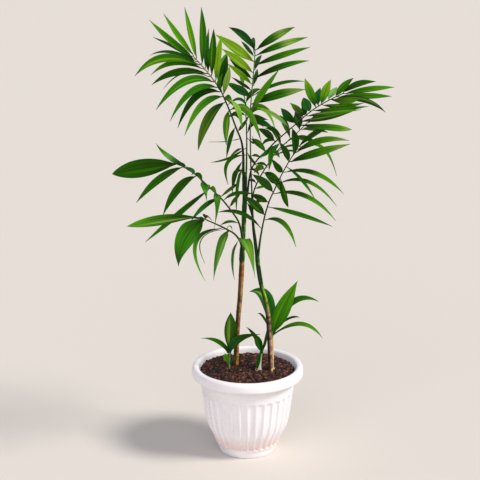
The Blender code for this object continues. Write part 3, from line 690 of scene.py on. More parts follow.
def makeStem(name, stem):
    points = [place for place, _ in stem["points"]]
    radii = [(i, radius) for i, (_, radius) in enumerate(stem["points"])]
    last = len(points) - 1

    def sectionAt(share):
        place, direction = alongCurve(points, share * last)
        side = Vector((1, 0, 0))
        side = (side - direction * side.dot(direction)).normalized()
        radius = valueAt(radii, share * last)
        for scar in stem["scars"]:
            radius += stem["scarDepth"] * hump(place.z - scar, leafScar["ringWidth"])
        return place, side, direction.cross(side), radius

    def toneAt(u, share):
        height = alongCurve(points, share * last)[0].z
        steps = stem["tones"]
        colour = hexColour(steps[0][1])
        for (low, near), (high, far) in zip(steps, steps[1:]):
            if height > low:
                past = smooth((height - low) / (high - low))
                colour = mixColour(hexColour(near), hexColour(far), past)
        for scar in stem["scars"]:
            for rise, width, paint, strength in leafScar["marks"]:
                mark = strength * hump(height - scar - rise, width)
                colour = mixColour(colour, hexColour(paint), mark)
        # painted shade on the cane's left side and a painted highlight on its right, as if the cane
        # were lit from the right
        if "paintedSideLight" in stem:
            right = math.cos(math.tau * u)  # 1 on the right side of the stem, -1 on the left
            darkening = smooth((paintedSideLight["shadeEnd"] - right) / paintedSideLight["shadeFade"])
            highlightShare = smooth((right - paintedSideLight["highlightStart"]) / paintedSideLight["highlightFade"])
            colour = scaleColour(colour, 1 - stem["paintedSideLight"] * darkening)
            colour = scaleColour(colour, 1 + stem["paintedSideLight"] * paintedSideLight["highlight"] * highlightShare)
        return colour

    piece = growTube(name, stem["sides"], stem["rows"], sectionAt, toneAt)
    shadeByAngle(piece, stemSmoothAngle)
    piece.data.materials.append(caneBark if name.startswith("cane") else stalkRind)
    piece.data.transform(plantPlace)
    return joinPieces([piece], name.replace("_", "-") + "-grown")


pottingSoil = makeSoil()
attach(pottingSoil, "root")
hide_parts("soil")
print("soil laid")

for name, stem in stems.items():
    piece = makeStem(name, stem)
    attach(piece, "root")
    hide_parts(name)
print("canes and shoot stems grown")


# Every leaflet is a thin folded sheet. Shares run along it from its foot (0) to its tip (1), and
# angles are in degrees.

leafShape = {
    "peak": 0.48, "fullness": 1.0, "bluntness": 0.85, "widen": 1.12, "tipWidth": 0.5,
    "thickness": 0.45,
    "fold": 24, "foldAtFoot": 42, "foldShare": 0.3, "curl": 0.14, "wave": 0.35, "waves": 9,
    "neckWidth": 1.9, "neckStep": 1.1, "neckShare": 0.04, "neckEnd": 0.11,
    "footSink": 0.5, "footSinkShare": 0.02, "footSpreadShare": 0.12, "footLean": 0.3,
    "grid": (6, 20), "broadGrid": (18, 28), "broadFrom": 21, "pleatWidth": 8, "pleatHeight": 0.3,
    "shades": (0.84, 1.14), "footShade": 0.55, "shootFootShade": 0.2, "footShadeShare": 0.38,
    "tonesFrom": 0.15, "tonesTo": 0.9, "sheenPlace": 0.36, "sheenWidth": 0.13,
    "sheenStrength": 0.7, "sheenFades": (0.3, 0.35), "smoothAngle": 50,
}
leafTones = {
    "deep": "#0b4415", "dark": "#174f04", "mid": "#2f7c06", "light": "#5aa810", "lime": "#96c81c",
    "olive": "#4c700f", "blue": "#1b6c28", "pale": "#a6d05c", "black": "#051703", "leaf": "#226404",
    "tan": "#d8c08a", "moss": "#0e3207", "mint": "#86cc70",
}


def bladeWidth(share, width, peak, neck):  # pointed at both ends, widest at the peak
    if share <= 0:
        return neck
    if share >= 1:
        return leafShape["tipWidth"]
    low = leafShape["fullness"] * peak / leafShape["peak"]
    high = max(low * (1 - peak) / peak, leafShape["bluntness"])
    shape = (share / peak) ** low * ((1 - share) / (1 - peak)) ** high
    return max(width * shape, neck if share < peak else leafShape["tipWidth"])


# One leaflet: foot, middle and tip lie on its midrib, and turn tilts it about that. Its upper face
# looks to the front, its foot spreads outward along the stalk, and its neck points away from it.
def growBlade(foot, middle, tip, width, turn, tone, front, outward, away, generator,
              peak=0, fold=0, neck=0):
    peak = peak or leafShape["peak"]
    fold = fold or leafShape["fold"]
    neck = neck or leafShape["neckWidth"]
    bend = 2 * middle - (foot + tip) / 2
    chord = (tip - foot).normalized()
    spread = chord.cross(front)
    heading = (bend - foot) * 2 * leafShape["neckShare"] + away * leafShape["neckStep"]
    heading.normalize()
    if spread.dot(outward - heading * outward.dot(heading)) < 0:
        spread.negate()
    spread += leafShape["footLean"] * outward
    firstAcross = spread + outward
    firstAcross -= heading * firstAcross.dot(heading)
    facing = 1 if firstAcross.cross(heading).dot(front) > 0 else -1
    body, _, sheen = tone.partition("|")
    tones = [hexColour(leafTones[word]) for word in body.split(">")]
    shade = generator.uniform(*leafShape["shades"])
    phase = generator.uniform(0, math.tau)
    footShade = leafShape["footShade"] if away.length else leafShape["shootFootShade"]
    broad = width > leafShape["broadFrom"]
    pleats = width / leafShape["pleatWidth"] if broad else 0

    def placeAt(u, v):
        centre = (1 - v) ** 2 * foot + 2 * v * (1 - v) * bend + v * v * tip
        start = leafShape["neckShare"]
        end = leafShape["neckEnd"]
        step = min(v / start, max(end - v, 0) / (end - start), 1)
        sink = max(1 - v / leafShape["footSinkShare"], 0)
        centre += away * (leafShape["neckStep"] * step - leafShape["footSink"] * sink)
        along = ((1 - v) * (bend - foot) + v * (tip - bend)).normalized()
        along = (2 * along + chord).normalized()
        across = spread + outward * (1 - smooth(v / leafShape["footSpreadShare"]))
        across = (across - along * across.dot(along)).normalized()
        normal = across.cross(along)
        angle = math.radians(turn) * min(1, v / leafShape["foldShare"])
        across = facing * (math.cos(angle) * across + math.sin(angle) * normal)
        normal = across.cross(along)
        half = bladeWidth(v, width, peak, neck) / 2
        side = 2 * u - 1
        settled = smooth(v / leafShape["foldShare"])
        folded = math.radians(fold + (leafShape["foldAtFoot"] - fold) * (1 - settled))
        sideways = half * side * math.cos(folded)
        lift = half * (abs(side) * math.sin(folded) - leafShape["curl"] * side * side * 2)
        lift += leafShape["wave"] * side * side * math.sin(leafShape["waves"] * v + phase) * settled
        if pleats:
            pleat = math.cos(math.tau * side * pleats / 2) * min(half / leafShape["pleatWidth"], 1)
            lift += leafShape["pleatHeight"] * pleat
        return centre + across * sideways + normal * lift

    def toneAt(u, v):
        start = leafShape["tonesFrom"]
        colour = blendTones(tones, (v - start) / (leafShape["tonesTo"] - start))
        if sheen:  # painted highlight: a paler sheen band beside the midrib
            rise, fall = leafShape["sheenFades"]
            band = hump(u - leafShape["sheenPlace"], leafShape["sheenWidth"])
            band *= leafShape["sheenStrength"] * smooth(v / rise) * smooth((1 - v) / fall)
            colour = mixColour(colour, hexColour(leafTones[sheen]), band)
        # painted shade: each leaflet darkens towards its foot, where it lies in shade by the stalk,
        # and less so on the young shoots
        return scaleColour(colour, shade * (1 - footShade * (1 - smooth(v / leafShape["footShadeShare"]))))

    across, along = leafShape["broadGrid"] if broad else leafShape["grid"]
    piece = growSheet("blade", across, along, placeAt, toneAt)
    piece.data.materials.append(leafUpper)
    piece.data.materials.append(leafUnder)
    return piece


viewerSide = Vector((0, -1, 0.35))  # leaves face the front and slightly up


def thickenLeaves(blades, name):
    piece = joinPieces(blades, name)
    applyModifier(piece, "SOLIDIFY", thickness=leafShape["thickness"] * mm, offset=0,
                  material_offset=1, material_offset_rim=1)
    return piece


def stalkAxes(direction):  # sideways and forward of a stalk
    side = direction.cross(viewerSide).normalized()
    return side, side.cross(direction)


# Fronds. The sheath wraps the cane: (place, radius). The stalk runs through its points, with a
# radius at each end, tones from foot to tip, and a stripe: its tone, its place around and where it
# starts. Each leaflet has its station between the stalk's points, the middle and tip of its midrib,
# its width, its turn, its tones (foot>tip|sheen, the sheen being a painted highlight beside the
# midrib) and, where they differ, its peak, fold and neck.

fronds = {
    "frond_top_left": {
        "sheath": (((-6, 26.6, 500), 4.5), ((-5.8, 26, 524), 4.9), ((-6.6, 25.2, 531), 3.8)),
        "stalk": (
            (-8.2, 24, 534.6), (-8.5, 20, 570), (-12, 14, 597), (-21, 5, 622), (-31, -8, 652),
            (-41, -20, 679), (-51, -32, 703), (-68, -42, 729), (-84, -50, 750), (-97, -58, 766),
        ),
        "radius": (1.8, 0.9), "stalkTone": "moss>moss>black>dark>dark>moss",
        "stripe": ("tan", 0.25, 0.68),
        "leaflets": (
            (9, (-134, -66, 794), (-173, -75, 833), 11, 0, "mid>light"),
            (9, (-122, -68, 803), (-148, -80, 845), 10, 0, "light"),
            (8.6, (-101, -68, 807), (-111, -80, 856), 10, 10, "light|lime"),
            (7.95, (-80, -60, 801), (-82, -72, 855), 13, 0, "mid|light"),
            (7.55, (-74, -34, 772), (-70, -24, 810), 8, 20, "blue"),
            (6.9, (-63, -44, 773), (-61, -46, 813), 13, 0, "dark|light"),
            (6.5, (-54, -32, 760), (-47, -26, 798), 12, 20, "lime"),
            (5.95, (-44, -42, 737), (-37, -50, 768), 15, 0, "dark"),
            (5.5, (-38, -46, 722), (-33, -56, 748), 12, 0, "pale"),
            (5.05, (-21, -52, 678), (-11, -85, 643), 17, 0, "mint>pale>light"),
            (4.65, (-15, -10, 680), (-1, 4, 660), 6, 0, "blue"),
            (4.25, (0, -36, 663), (24, -66, 612), 15, 0, "light|pale"),
            (2.8, (-10, 8, 627), (2, 14, 643), 7, 0, "dark"),
            (8.6, (-132, -56, 783), (-168, -62, 801), 8, 40, "blue"),
            (8.27, (-138, -78, 778), (-172, -98, 774), 8, 40, "blue"),
            (7.95, (-150, -74, 766), (-199, -98, 738), 15, 0, "mid|lime"),
            (7.55, (-130, -58, 755), (-172, -72, 735), 10, 0, "mid>light"),
            (7.15, (-125, -72, 741), (-170, -92, 721), 13, 0, "dark"),
            (6.9, (-115, -46, 733), (-151, -44, 705), 5, 40, "olive"),
            (6.5, (-113, -74, 724), (-163, -98, 677), 15, 0, "mid|light"),
            (6.1, (-100, -70, 706), (-138, -92, 656), 13, 0, "mid"),
            (5.75, (-93, -50, 693), (-126, -62, 637), 15, 0, "dark"),
            (5.35, (-84, -66, 679), (-113, -92, 630), 16, 0, "mid>light"),
            (4.9, (-73, -58, 652), (-89, -88, 602), 22, 0, "dark>olive", 0.52),
            (4.25, (-40, -26, 636), (-39, -46, 602), 14, 0, "mid|lime"),
            (3.1, (-33, -8, 604), (-39, -22, 573), 9, 0, "dark"),
            (2.2, (-42, 2, 599), (-72, -8, 600), 6, 70, "dark"),
            (0.6, (-23, 19, 532), (-29, 8, 498), 7, 0, "dark"),
            (0.25, (-19, 2, 516), (-21, -12, 466), 6, 0, "leaf"),
            (3.9, (-21.6, -14, 653), (-14.4, -18, 643), 9, 0, "dark"),
            (0.1, (-23.6, 14, 536.6), (-29, 4, 512), 8, 0, "dark"),
            (0.05, (-16.2, 12, 529.5), (-18, 2, 496), 5, 0, "leaf>mid"),
            (1.4, (-22, 4, 580), (-35, -4, 567), 5, 0, "dark>leaf"),
            (7.25, (-72, -35, 758), (-71, -30, 784), 9, 0, "dark>light"),
            (6.2, (-49, -25, 741), (-38, -18, 765), 12, 0, "mid>light|pale"),
            (5.2, (-37, -14, 684), (-27, -8, 667), 11, 0, "dark>light"),
            (5.7, (-52, -50, 716), (-45, -54, 734), 8, 0, "dark>mid"),
        ),
    },
    "frond_inner": {
        "sheath": (((-5.2, 26.4, 520), 3), ((-4, 27.2, 529), 2.6)),
        "stalk": (
            (-2.7, 28, 534.5), (-2, 32, 570), (-2, 37, 600), (-3, 45, 632), (-5, 57, 660),
            (-8, 72, 685),
        ),
        "radius": (1.25, 0.8), "stalkTone": "moss>dark>moss>leaf", "stripe": ("light", 0.1, 0),
        "leaflets": (
            (0.9, (-38, 34, 551), (-36, 30, 510), 7, 20, "mid"),
            (1.3, (-38, 44, 557), (-69, 48, 549), 6, 45, "mid"),
            (2.2, (12, 46, 625), (30, 60, 612), 9, 0, "dark"),
            (3.0, (14, 53, 650), (34, 64, 642), 10, 0, "dark"),
            (3.2, (-20, 56, 640), (-38, 70, 628), 8, 0, "dark"),
            (3.95, (8, 70, 676), (25, 82, 680), 9, 0, "dark"),
            (4.4, (-22, 74, 686), (-40, 84, 690), 9, 0, "light"),
            (5, (-11, 88, 706), (-14, 105, 722), 9, 0, "pale"),
            (1.9, (11, 34, 589), (8, 36, 601), 4, 0, "blue"),
            (1.0, (8, 30, 557), (17, 32, 546), 5, 0, "dark"),
        ),
    },
    "frond_top_centre": {
        "sheath": (((25.2, 16.1, 321), 4.2), ((20.2, 19.6, 352), 4.4), ((17.4, 21.8, 370), 3.7)),
        "stalk": (
            (16, 22, 377.4), (13, 25, 400), (9.5, 27, 430), (8, 29, 462), (7.5, 30, 500),
            (6, 32, 540), (5, 33, 580), (4.5, 34, 620), (5, 36, 650), (7, 38, 680), (9, 42, 702),
            (11, 46, 724), (12.5, 50, 745), (13.5, 53, 758),
        ),
        "radius": (1.6, 0.8), "stalkTone": "moss>moss>black>black>moss>dark>leaf",
        "stripe": ("mint", 0.1, 0.45),
        "leaflets": (
            (13, (50, 42, 785), (85, 30, 804), 14, 0, "dark>mid>pale>light"),
            (12.2, (62, 38, 771), (108, 25, 786), 12, 0, "dark>mid>pale>light"),
            (11.3, (62, 34, 752), (113, 20, 769), 11, 0, "dark>mid>light>light"),
            (10.2, (60, 30, 732), (111, 16, 745), 11, 0, "black>dark>mid>light"),
            (8.85, (57, 33, 700), (103, 26, 705), 6.5, 0, "dark>mid>blue"),
            (8.35, (55, 18, 683), (105, 4, 695), 16, 0, "dark>mid>pale"),
            (7.9, (26, 8, 688), (56, -16, 735), 12, 0, "light"),
            (10.9, (17, 72, 733), (26, 98, 741), 9, 0, "dark"),
            (9.6, (15, 66, 708), (18, 92, 716), 8, 0, "dark"),
            (13, (-8, 44, 786), (-35, 32, 803), 13, 0, "deep|blue"),
            (12.45, (10, 78, 771), (7, 104, 769), 8, 0, "blue"),
            (12.1, (0, 60, 760), (-12, 72, 771), 8, 30, "blue"),
            (11.6, (-22, 30, 765), (-58, 12, 793), 17, 0, "lime|pale"),
            (10.7, (-18, 30, 743), (-47, 15, 767), 14, 0, "lime|pale"),
            (10.2, (-12, 60, 721), (-34, 76, 738), 10, 0, "dark"),
            (9.75, (-14, 26, 720), (-38, 12, 741), 10, 25, "light>lime"),
            (9.25, (-10, 30, 700), (-30, 16, 715), 7, 35, "dark"),
            (8.8, (-14, 50, 685), (-36, 62, 692), 15, 0, "blue"),
            (7.5, (26, 32, 628), (46.5, 38, 616), 11, 0, "deep>blue"),
            (7.7, (17, 30, 638), (37, 26, 634), 9, 0, "dark"),
            (8.1, (22, 30, 659), (41, 24, 652), 8, 0, "mid>light|lime"),
            (7.9, (33, 22, 651), (50.7, 16, 616), 6, 0, "light>mint>pale"),
            (6.4, (20.7, 30, 588), (33.6, 24, 573), 11, 0, "dark>mid|light"),
            (2.7, (6, 34, 462.5), (-1, 36, 474), 6, 0, "dark"),
            (5.6, (15, 36, 565), (26, 38, 559), 5, 0, "dark>blue"),
        ),
    },
    "frond_upper_right": {
        "sheath": (((-7.2, 27.8, 440), 4.4), ((-6.1, 27.1, 470), 4.8), ((-4.4, 25.8, 487), 3.9)),
        "stalk": (
            (-0.5, 23.6, 497), (2.5, 15, 524), (8, 5, 549), (21, -8, 571), (35, -15, 586),
            (48, -19, 601), (60, -23, 613), (80, -29, 632), (100, -34, 651), (120, -38, 668),
            (145, -42, 684), (170, -46, 697),
        ),
        "radius": (1.4, 0.9), "stalkTone": "dark>moss>black>black>black>black",
        "stripe": ("tan", 0.45, 0.6),
        "leaflets": (
            (9.1, (111, -48, 700), (101, -56, 726), 15, 0, "mid>light>lime"),
            (8.65, (106, -40, 673), (99.5, -38, 688), 18, 0, "blue", 0.6),
            (9.5, (138, -52, 702), (147, -62, 725), 15, 0, "light>lime"),
            (9.3, (125, -28, 688), (131, -14, 701), 15, 0, "blue"),
            (10.0, (154, -14, 693), (161, 4, 699), 15, 0, "mint>pale"),
            (10.5, (170, -53, 711), (187, -62, 728), 12, 0, "mid|light"),
            (11, (195, -51, 715), (227, -60, 721), 11, 0, "dark>mid|blue"),
            (11, (218, -50, 706), (261, -55, 710), 10, 0, "mid>light"),
            (10.55, (209, -58, 695), (255, -72, 697), 11, 0, "mid>light|light"),
            (10.15, (204, -68, 690), (243, -92, 672), 9, 0, "deep|pale"),
            (10.15, (174.6, -60, 686), (196.5, -78, 692.5), 11, 0, "olive>light"),
            (9.5, (168.4, -46, 674), (207, -52, 681), 9, 0, "dark>mid>light|lime"),
            (8.85, (161, -54, 669.5), (215, -66, 678), 9, 0, "dark>mid>mid|light"),
            (8.2, (148, -62, 665), (200, -82, 675), 8, 0, "dark>mid>light|pale"),
            (7.65, (138, -46, 652.5), (186, -56, 666), 9, 0, "black>dark>mid|pale"),
            (7.3, (147, -46, 635.5), (186, -60, 634), 12, 0, "dark>mid>light>pale", 0.56),
            (6.95, (86, -54, 610), (81, -66, 587), 14, 0, "dark"),
            (7.35, (72, -16, 650), (60, 4, 660), 15, 0, "dark>blue"),
            (8.0, (89, -46, 668), (75, -60, 683), 12, 0, "dark>olive>light"),
            (7.7, (90, -10, 655), (88, 12, 657), 13, 0, "deep"),
            (6.8, (50, -22, 652), (14, -12, 666), 7.5, 0, "mint>pale>lime"),
            (6.05, (47, -8, 622.5), (31, 0, 624), 8, 0, "dark"),
            (5.15, (37, 0, 613), (18, 20, 619), 13, 0, "dark"),
            (4.6, (42, -30, 581), (38, -38, 553), 10, 0, "mid"),
            (4.2, (50, -8, 582), (58, 4, 568), 9, 0, "mid"),
            (4.4, (46.5, -16, 589.5), (58, -8, 598), 10, 0, "blue"),
            (4.4, (33, -22, 582.5), (22, -28, 576), 8, 0, "blue"),
            (5.2, (34.7, -16, 605), (25.6, -20, 595), 6, 0, "dark"),
            (2.3, (26, 8, 557), (37, 6, 548), 6, 0, "blue>dark"),
            (8.3, (103, -22, 658), (97, -14, 668), 11, 0, "dark"),
        ),
    },
    "frond_right": {
        "sheath": (((19.4, 20.6, 358), 3.6), ((19.2, 21.6, 371), 3)),
        "stalk": (
            (20.2, 21.5, 378.1), (23, 26, 402), (27, 32, 425), (32.5, 38, 450), (40, 44, 474),
            (48, 50, 491), (57, 54, 510), (65, 57, 526), (74, 60, 542), (84, 63, 558), (94, 66, 576),
        ),
        "radius": (1.6, 0.8), "stalkTone": "dark>moss>black>black", "stripe": ("light", 0.05, 0),
        "leaflets": (
            (2.65, (67, 28, 437), (90, 8, 396), 9, 0, "dark>light"),
            (3.6, (98, 50, 448), (160, 55, 423), 9, 0, "mid"),
            (4.85, (110, 55, 482), (166, 55, 434), 9, 0, "dark>dark>light>light"),
            (5.8, (113, 47, 512), (166, 40, 467), 7, 0, "dark>dark>light>light"),
            (6.4, (68, 28, 490), (75, 2, 474), 11, 0, "dark|light"),
            (7.1, (126, 52, 527), (180, 46, 488), 9, 0, "dark>dark>light>light"),
            (7.75, (100, 24, 521), (124, -8, 492), 6, 0, "blue>mid>light"),
            (8.3, (130, 46, 568), (189, 32, 587), 15, 0, "dark>mid>light>pale"),
            (9.25, (135, 58, 588), (188, 48, 590), 12, 0, "dark>mid>light>pale"),
            (9.6, (137, 80, 572), (168, 88, 513), 6, 0, "light|pale"),
            (9.9, (125, 66, 600), (156, 68, 613), 10, 0, "dark"),
            (8.3, (71, 54, 567), (58, 46, 588), 12, 0, "dark"),
            (7.1, (57, 53, 537), (44, 48, 556), 12, 0, "dark"),
            (6.0, (47, 42, 516), (32, 30, 530), 11, 0, "dark"),
            (5.0, (31, 35, 513), (8, 18, 533), 15, 0, "dark"),
            (3.95, (23, 48, 480), (7, 48, 488), 12, 0, "dark"),
            (3.0, (15, 24, 472), (-7, 8, 495), 15, 0, "dark|mid"),
            (2.0, (-12, 14, 460), (-56, -3, 466), 8, 0, "dark"),
        ),
    },
    "frond_back_right": {
        "sheath": (((18.9, 22.2, 362), 3.2), ((18.2, 24.4, 371), 2.8)),
        "stalk": (
            (18, 26, 377.2), (15.5, 33, 400), (11.5, 37, 430), (9.5, 40, 462), (11, 44, 492),
            (20, 49, 514), (28, 54, 528), (37, 60, 541), (50, 66, 560), (65, 72, 575), (82, 79, 588),
            (98, 86, 602), (112, 94, 614),
        ),
        "radius": (1.5, 0.8), "stalkTone": "moss>moss>black>dark", "stripe": ("light", 0.05, 0.1),
        "leaflets": (
            (4.3, (24, 56, 499.5), (36, 60, 500), 4.5, 0, "mid"),
            (6.4, (22.5, 54, 538), (11.5, 50, 528), 12, 0, "dark>olive>olive"),
            (8.9, (52, 84, 598), (40, 94, 608), 10, 0, "dark"),
            (9.9, (70, 94, 612), (60, 104, 626), 11, 0, "dark"),
            (11, (94.5, 104, 618), (93, 112, 631), 17, 0, "deep"),
            (10.1, (110, 96, 584), (134, 108, 566), 9, 0, "dark"),
            (11.1, (126, 106, 600), (152, 116, 590), 9, 0, "dark"),
            (12, (136, 108, 626), (160, 122, 628), 9, 0, "dark"),
            (8.3, (80, 84, 572.5), (104, 90, 567), 4, 0, "dark"),
            (9.3, (87, 92, 585), (108, 98, 577), 4, 0, "blue"),
            (7.9, (76, 80, 563.5), (90, 84, 558.5), 4, 0, "dark"),
            (3.2, (24, 48, 476), (40, 52, 470), 7, 0, "dark"),
            (6, (51, 66, 512.5), (71.6, 50, 476), 13, 0, "dark>mid>leaf"),
            (4.7, (8, 48, 515), (-0.4, 50, 510.5), 5, 0, "dark"),
            (5.4, (14, 56, 532), (2, 54, 533), 5, 0, "blue>dark"),
        ),
    },
    "frond_left": {
        "sheath": (((-9.8, 29, 384), 4.7), ((-8.8, 28.4, 402), 4.6), ((-9.6, 25.6, 409), 3.4)),
        "stalk": (
            (-10.2, 23.1, 412), (-13, 13, 430), (-19, 4, 450), (-35, -10, 477), (-50, -20, 498),
            (-69, -30, 519), (-93, -40, 545), (-112, -47, 560), (-125, -52, 571),
        ),
        "radius": (1.7, 1.1), "stalkTone": "moss>moss>moss>black", "stripe": ("light", 0.05, 0),
        "leaflets": (
            (8, (-184, -66, 566), (-244, -78, 557), 31, 0, "dark>leaf|mid", 0.58, 14),
            (7.2, (-148, -55, 588), (-165, -60, 609), 9, 0, "blue>mint>light>dark", 0.3, 12, 9),
            (7.35, (-161, -70, 545), (-201, -88, 506), 14, 0, "dark>leaf"),
            (6.0, (-127, -56, 525), (-154, -72, 478), 16, 0, "dark>leaf"),
            (5.35, (-77, -50, 520), (-74, -60, 497), 19, 0, "mid", 0.12, 10, 6),
            (5.0, (-129, -50, 474), (-187, -68, 427), 11, 0, "dark>leaf>mid"),
            (4.45, (-55.5, -40, 490), (-62.5, -52, 444), 15, 0, "mid", 0.16, 10, 6),
            (4.05, (-80, -34, 486), (-104, -46, 461), 10, 0, "dark>blue"),
            (4.05, (-32, -4, 511), (-15, 14, 519), 6, 20, "dark"),
            (3.7, (-20, -16, 506), (13, -12, 502), 7, 20, "dark"),
            (3.0, (-25, 6, 487), (-13, 14, 498), 8, 0, "dark"),
            (7.2, (-100, -46, 555), (-103, -46, 547), 7, 0, "blue"),
            (6.2, (-88, -40, 545), (-84, -44, 534), 8, 0, "dark"),
            (5.0, (-64, -32, 520), (-57, -36, 509), 8, 0, "dark"),
        ),
    },
    "frond_lower_left": {
        "sheath": (((-11, 29.6, 364), 5.4), ((-10.4, 29.1, 376), 5.4), ((-11, 26.6, 388), 3.8)),
        "stalk": (
            (-11.4, 23.6, 394), (-15, 13, 408), (-25, -10, 427), (-38, -28, 440), (-50, -45, 451),
            (-62, -60, 461), (-73, -75, 470), (-85, -85, 479),
        ),
        "radius": (1.7, 1.1), "stalkTone": "moss>moss>moss>black", "stripe": ("light", 0.05, 0),
        "leaflets": (
            (7, (-141, -94, 478), (-217, -106, 467), 18, 0, "blue>dark>mid>light|pale", 0.74, 12, 5),
            (6.75, (-115, -104, 440), (-125, -116, 395), 41, 0, "leaf>mid>dark|mid", 0.36, 12, 14),
            (6.35, (-74, -86, 483), (-65, -92, 474), 14, 0, "deep"),
            (4.05, (-34, -42, 459), (-17, -34, 453), 5, 40, "dark"),
            (3.65, (-96, -60, 424), (-78, -76, 356), 13, 0, "dark>light"),
            (3.3, (-85, -42, 426), (-79, -42, 379), 6.5, 20, "dark>mid"),
            (2.9, (-52, -50, 407), (-63, -66, 354), 22, 0, "mid|pale", 0.36, 14, 8),
            (3.1, (-33, -34, 449), (-28, -36, 440), 4, 0, "blue"),
            (1.2, (0.5, -22, 407), (13.5, -40, 351), 20, -45, "mid>light|pale", 0.32, 12, 6),
            (1.1, (-29, 0, 379), (-24, -18, 340), 9, 0, "mid"),
        ),
    },
}


stalkShape = {
    "sides": 12, "rowsPerPoint": 7, "footShare": 0.87, "swelling": 1.5, "stripeWidth": 0.07,
    "stripeFade": 0.1, "stripeStrength": 0.85, "smoothAngle": 50,
}


def makeFrond(name, frond, generator):
    points = frond["stalk"]
    last = len(points) - 1
    low, high = frond["radius"]
    blades = []
    for station, middle, tip, width, turn, tone, *rest in frond["leaflets"]:
        middle = Vector(middle)
        place, direction = alongCurve(points, station)
        side, front = stalkAxes(direction)
        away = side if (middle - place).dot(side) > 0 else -side
        foot = place + away * stalkShape["footShare"] * (low + (high - low) * station / last)
        blades.append(growBlade(foot, middle, Vector(tip), width * leafShape["widen"], turn, tone,
                                front, direction, away, generator, *rest))
    leaves = thickenLeaves(blades, name)
    whole = [place for place, _ in frond["sheath"]] + list(points)
    end = len(whole) - 1
    sheathEnd = len(frond["sheath"])
    radii = [(i, radius) for i, (_, radius) in enumerate(frond["sheath"])]
    radii += [(sheathEnd, low * stalkShape["swelling"]), (sheathEnd + 2, low), (end, high)]
    tones = [hexColour(leafTones[word]) for word in frond["stalkTone"].split(">")]

    def sectionAt(share):
        place, direction = alongCurve(whole, share * end)
        side, front = stalkAxes(direction)
        return place, side, front, valueAt(radii, share * end)

    def toneAt(u, share):
        # the stripe is partly the rind's own pale line and partly a painted highlight along the
        # stalk's lit right side
        stripe, middle, start = frond["stripe"]
        band = stalkShape["stripeStrength"] * hump(u - middle, stalkShape["stripeWidth"])
        band *= smooth((share - start) / stalkShape["stripeFade"])
        return mixColour(blendTones(tones, share), hexColour(leafTones[stripe]), band)

    rows = end * stalkShape["rowsPerPoint"]
    stalk = growTube("stalk", stalkShape["sides"], rows, sectionAt, toneAt)
    stalk.data.materials.append(stalkRind)
    piece = joinPieces([leaves, stalk], name.replace("_", "-") + "-grown")
    piece.data.transform(plantPlace)
    shadeByAngle(piece, stalkShape["smoothAngle"])
    return piece


generator = random.Random(5)
for name, frond in fronds.items():
    piece = makeFrond(name, frond, generator)
    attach(piece, "root")
    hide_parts(name)
print("fronds grown")


# Leaves of the young shoots: foot, middle and tip of the midrib, width, the share where that is
# reached, width at the foot, tones

shootLeaves = {
    "shoot_left_leaf_upright": (
        (-34.5, 14, 190), (-32, 7, 236), (-32, -4, 272), 26, 0.46, 12, "dark>leaf|pale"),
    "shoot_left_leaf_left": (
        (-35.5, 14.5, 186), (-57, 8, 211), (-88, -5, 221), 10, 0.36, 9, "leaf>mid"),
    "shoot_left_leaf_right": (
        (-33.5, 14.3, 186), (-17, 2, 217), (24, -14, 232), 17, 0.36, 11, "blue>dark"),
    "shoot_left_leaf_low_left": (
        (-35.5, 14, 166), (-41, 10, 177), (-43, 6, 187), 10, 0.55, 3, "light"),
    "shoot_left_leaf_low_right": (
        (-33.5, 14, 166), (-24, 10, 176), (-15, 8, 181), 4, 0.5, 2, "mid"),
    "shoot_centre_leaf_left": (
        (27, 6.6, 192), (14, 4, 222), (-3, -2, 243), 9, 0.4, 4.5, "dark"),
    "shoot_centre_leaf_front": (
        (27.5, 5.2, 188), (20.5, -1, 212), (14, -6, 229), 15, 0.5, 6, "dark|mid"),
    "shoot_centre_leaf_right": (
        (27.5, 8.4, 190), (34, 7, 213), (37, 4, 240), 6, 0.45, 4, "dark"),
    "shoot_centre_leaf_low": (
        (17.7, 2.8, 155), (20.4, 3, 173), (25.5, 4, 192), 8, 0.45, 3, "blue>dark"),
    "shoot_right_leaf_big": (
        (46.8, 17.2, 224), (69.5, 10, 281), (93.5, -2, 334), 32, 0.4, 12, "mid>light|light"),
    "shoot_right_leaf_back": (
        (47.5, 19, 222), (85.5, 27, 283), (134.5, 30, 283), 13, 0.5, 4, "dark>mid|blue"),
    "shoot_right_leaf_low": (
        (47.5, 16.5, 220), (100.5, 4, 247), (141.5, -6, 221), 9, 0.5, 4, "dark>light|light"),
    "shoot_right_leaf_small": (
        (47.6, 17.6, 224), (74.5, 17, 251.5), (98.5, 14, 256.5), 5, 0.6, 3, "dark"),
    "shoot_right_leaf_left": (
        (46.8, 19.6, 222), (35, 38, 288), (3, 30, 302), 27, 0.45, 8, "blue|pale"),
    "shoot_right_leaf_thin": (
        (46, 20, 219), (31, 37, 248.5), (19, 34, 257.5), 5, 0.5, 3, "mid"),
}


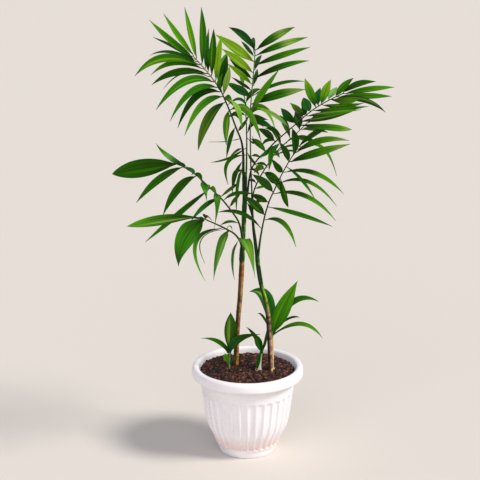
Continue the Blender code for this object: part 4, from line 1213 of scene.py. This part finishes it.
def makeShootLeaf(name, leaf, generator):
    *midrib, width, peak, neck, tone = leaf
    foot, middle, tip = (Vector(place) for place in midrib)
    blade = growBlade(foot, middle, tip, width, 0, tone, viewerSide, Vector((0, 0, 1)), Vector(),
                      generator, peak, 0, neck)
    piece = thickenLeaves([blade], name.replace("_", "-") + "-grown")
    piece.data.transform(plantPlace)
    shadeByAngle(piece, leafShape["smoothAngle"])
    return piece


for name, leaf in shootLeaves.items():
    piece = makeShootLeaf(name, leaf, generator)
    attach(piece, "root")
    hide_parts(name)
print("shoot leaves grown")


# A pale floor, two soft lamps and the camera; lens and sensor in millimetres, its place in metres

studio = {
    "floor": "#dcd5cf", "world": "#eef2f8", "worldStrength": 0.45,
    "key": {"turn": (46, 0, 70), "softness": 18, "strength": 2.7, "colour": "#fffaf0"},
    "fill": {"turn": (58, 0, -12), "softness": 60, "strength": 0.85, "colour": "#f6f6ff"},
    "lens": 140, "sensor": 36, "cameraPitch": 17.4, "cameraPlace": (-0.0142, -3.2912, 1.4473),
}


def addLamp(name, lamp):  # a far, soft lamp; its turn is in degrees, from straight down
    clearSelection()
    bpy.ops.object.light_add(type="SUN", location=(0, 0, 3))
    light = bpy.context.object
    light.name = name
    light.data.angle = math.radians(lamp["softness"])
    light.data.energy = lamp["strength"]
    light.data.color = hexColour(lamp["colour"])[:3]
    light.rotation_euler = [math.radians(angle) for angle in lamp["turn"]]


clearSelection()
bpy.ops.mesh.primitive_plane_add(size=60, location=(0, 0, 0))
floor = bpy.context.object
floor.name = "studioFloor"
floorPaint, floorShader = newMaterial("paleFloorPaint")
floorShader.inputs["Base Color"].default_value = hexColour(studio["floor"])
floorShader.inputs["Roughness"].default_value = 0.9
floor.data.materials.append(floorPaint)

for name in ("key", "fill"):
    addLamp(name + "Lamp", studio[name])

world = bpy.data.worlds.new("studioWorld")
world.use_nodes = True
world.node_tree.nodes["Background"].inputs["Color"].default_value = hexColour(studio["world"])
world.node_tree.nodes["Background"].inputs["Strength"].default_value = studio["worldStrength"]
bpy.context.scene.world = world
bpy.context.scene.view_settings.view_transform = "Standard"

bpy.ops.object.camera_add(location=studio["cameraPlace"],
                          rotation=(math.radians(90 - studio["cameraPitch"]), 0, 0))
camera = bpy.context.object
camera.data.lens = studio["lens"]
camera.data.sensor_width = studio["sensor"]
bpy.context.scene.camera = camera
print("studio set")
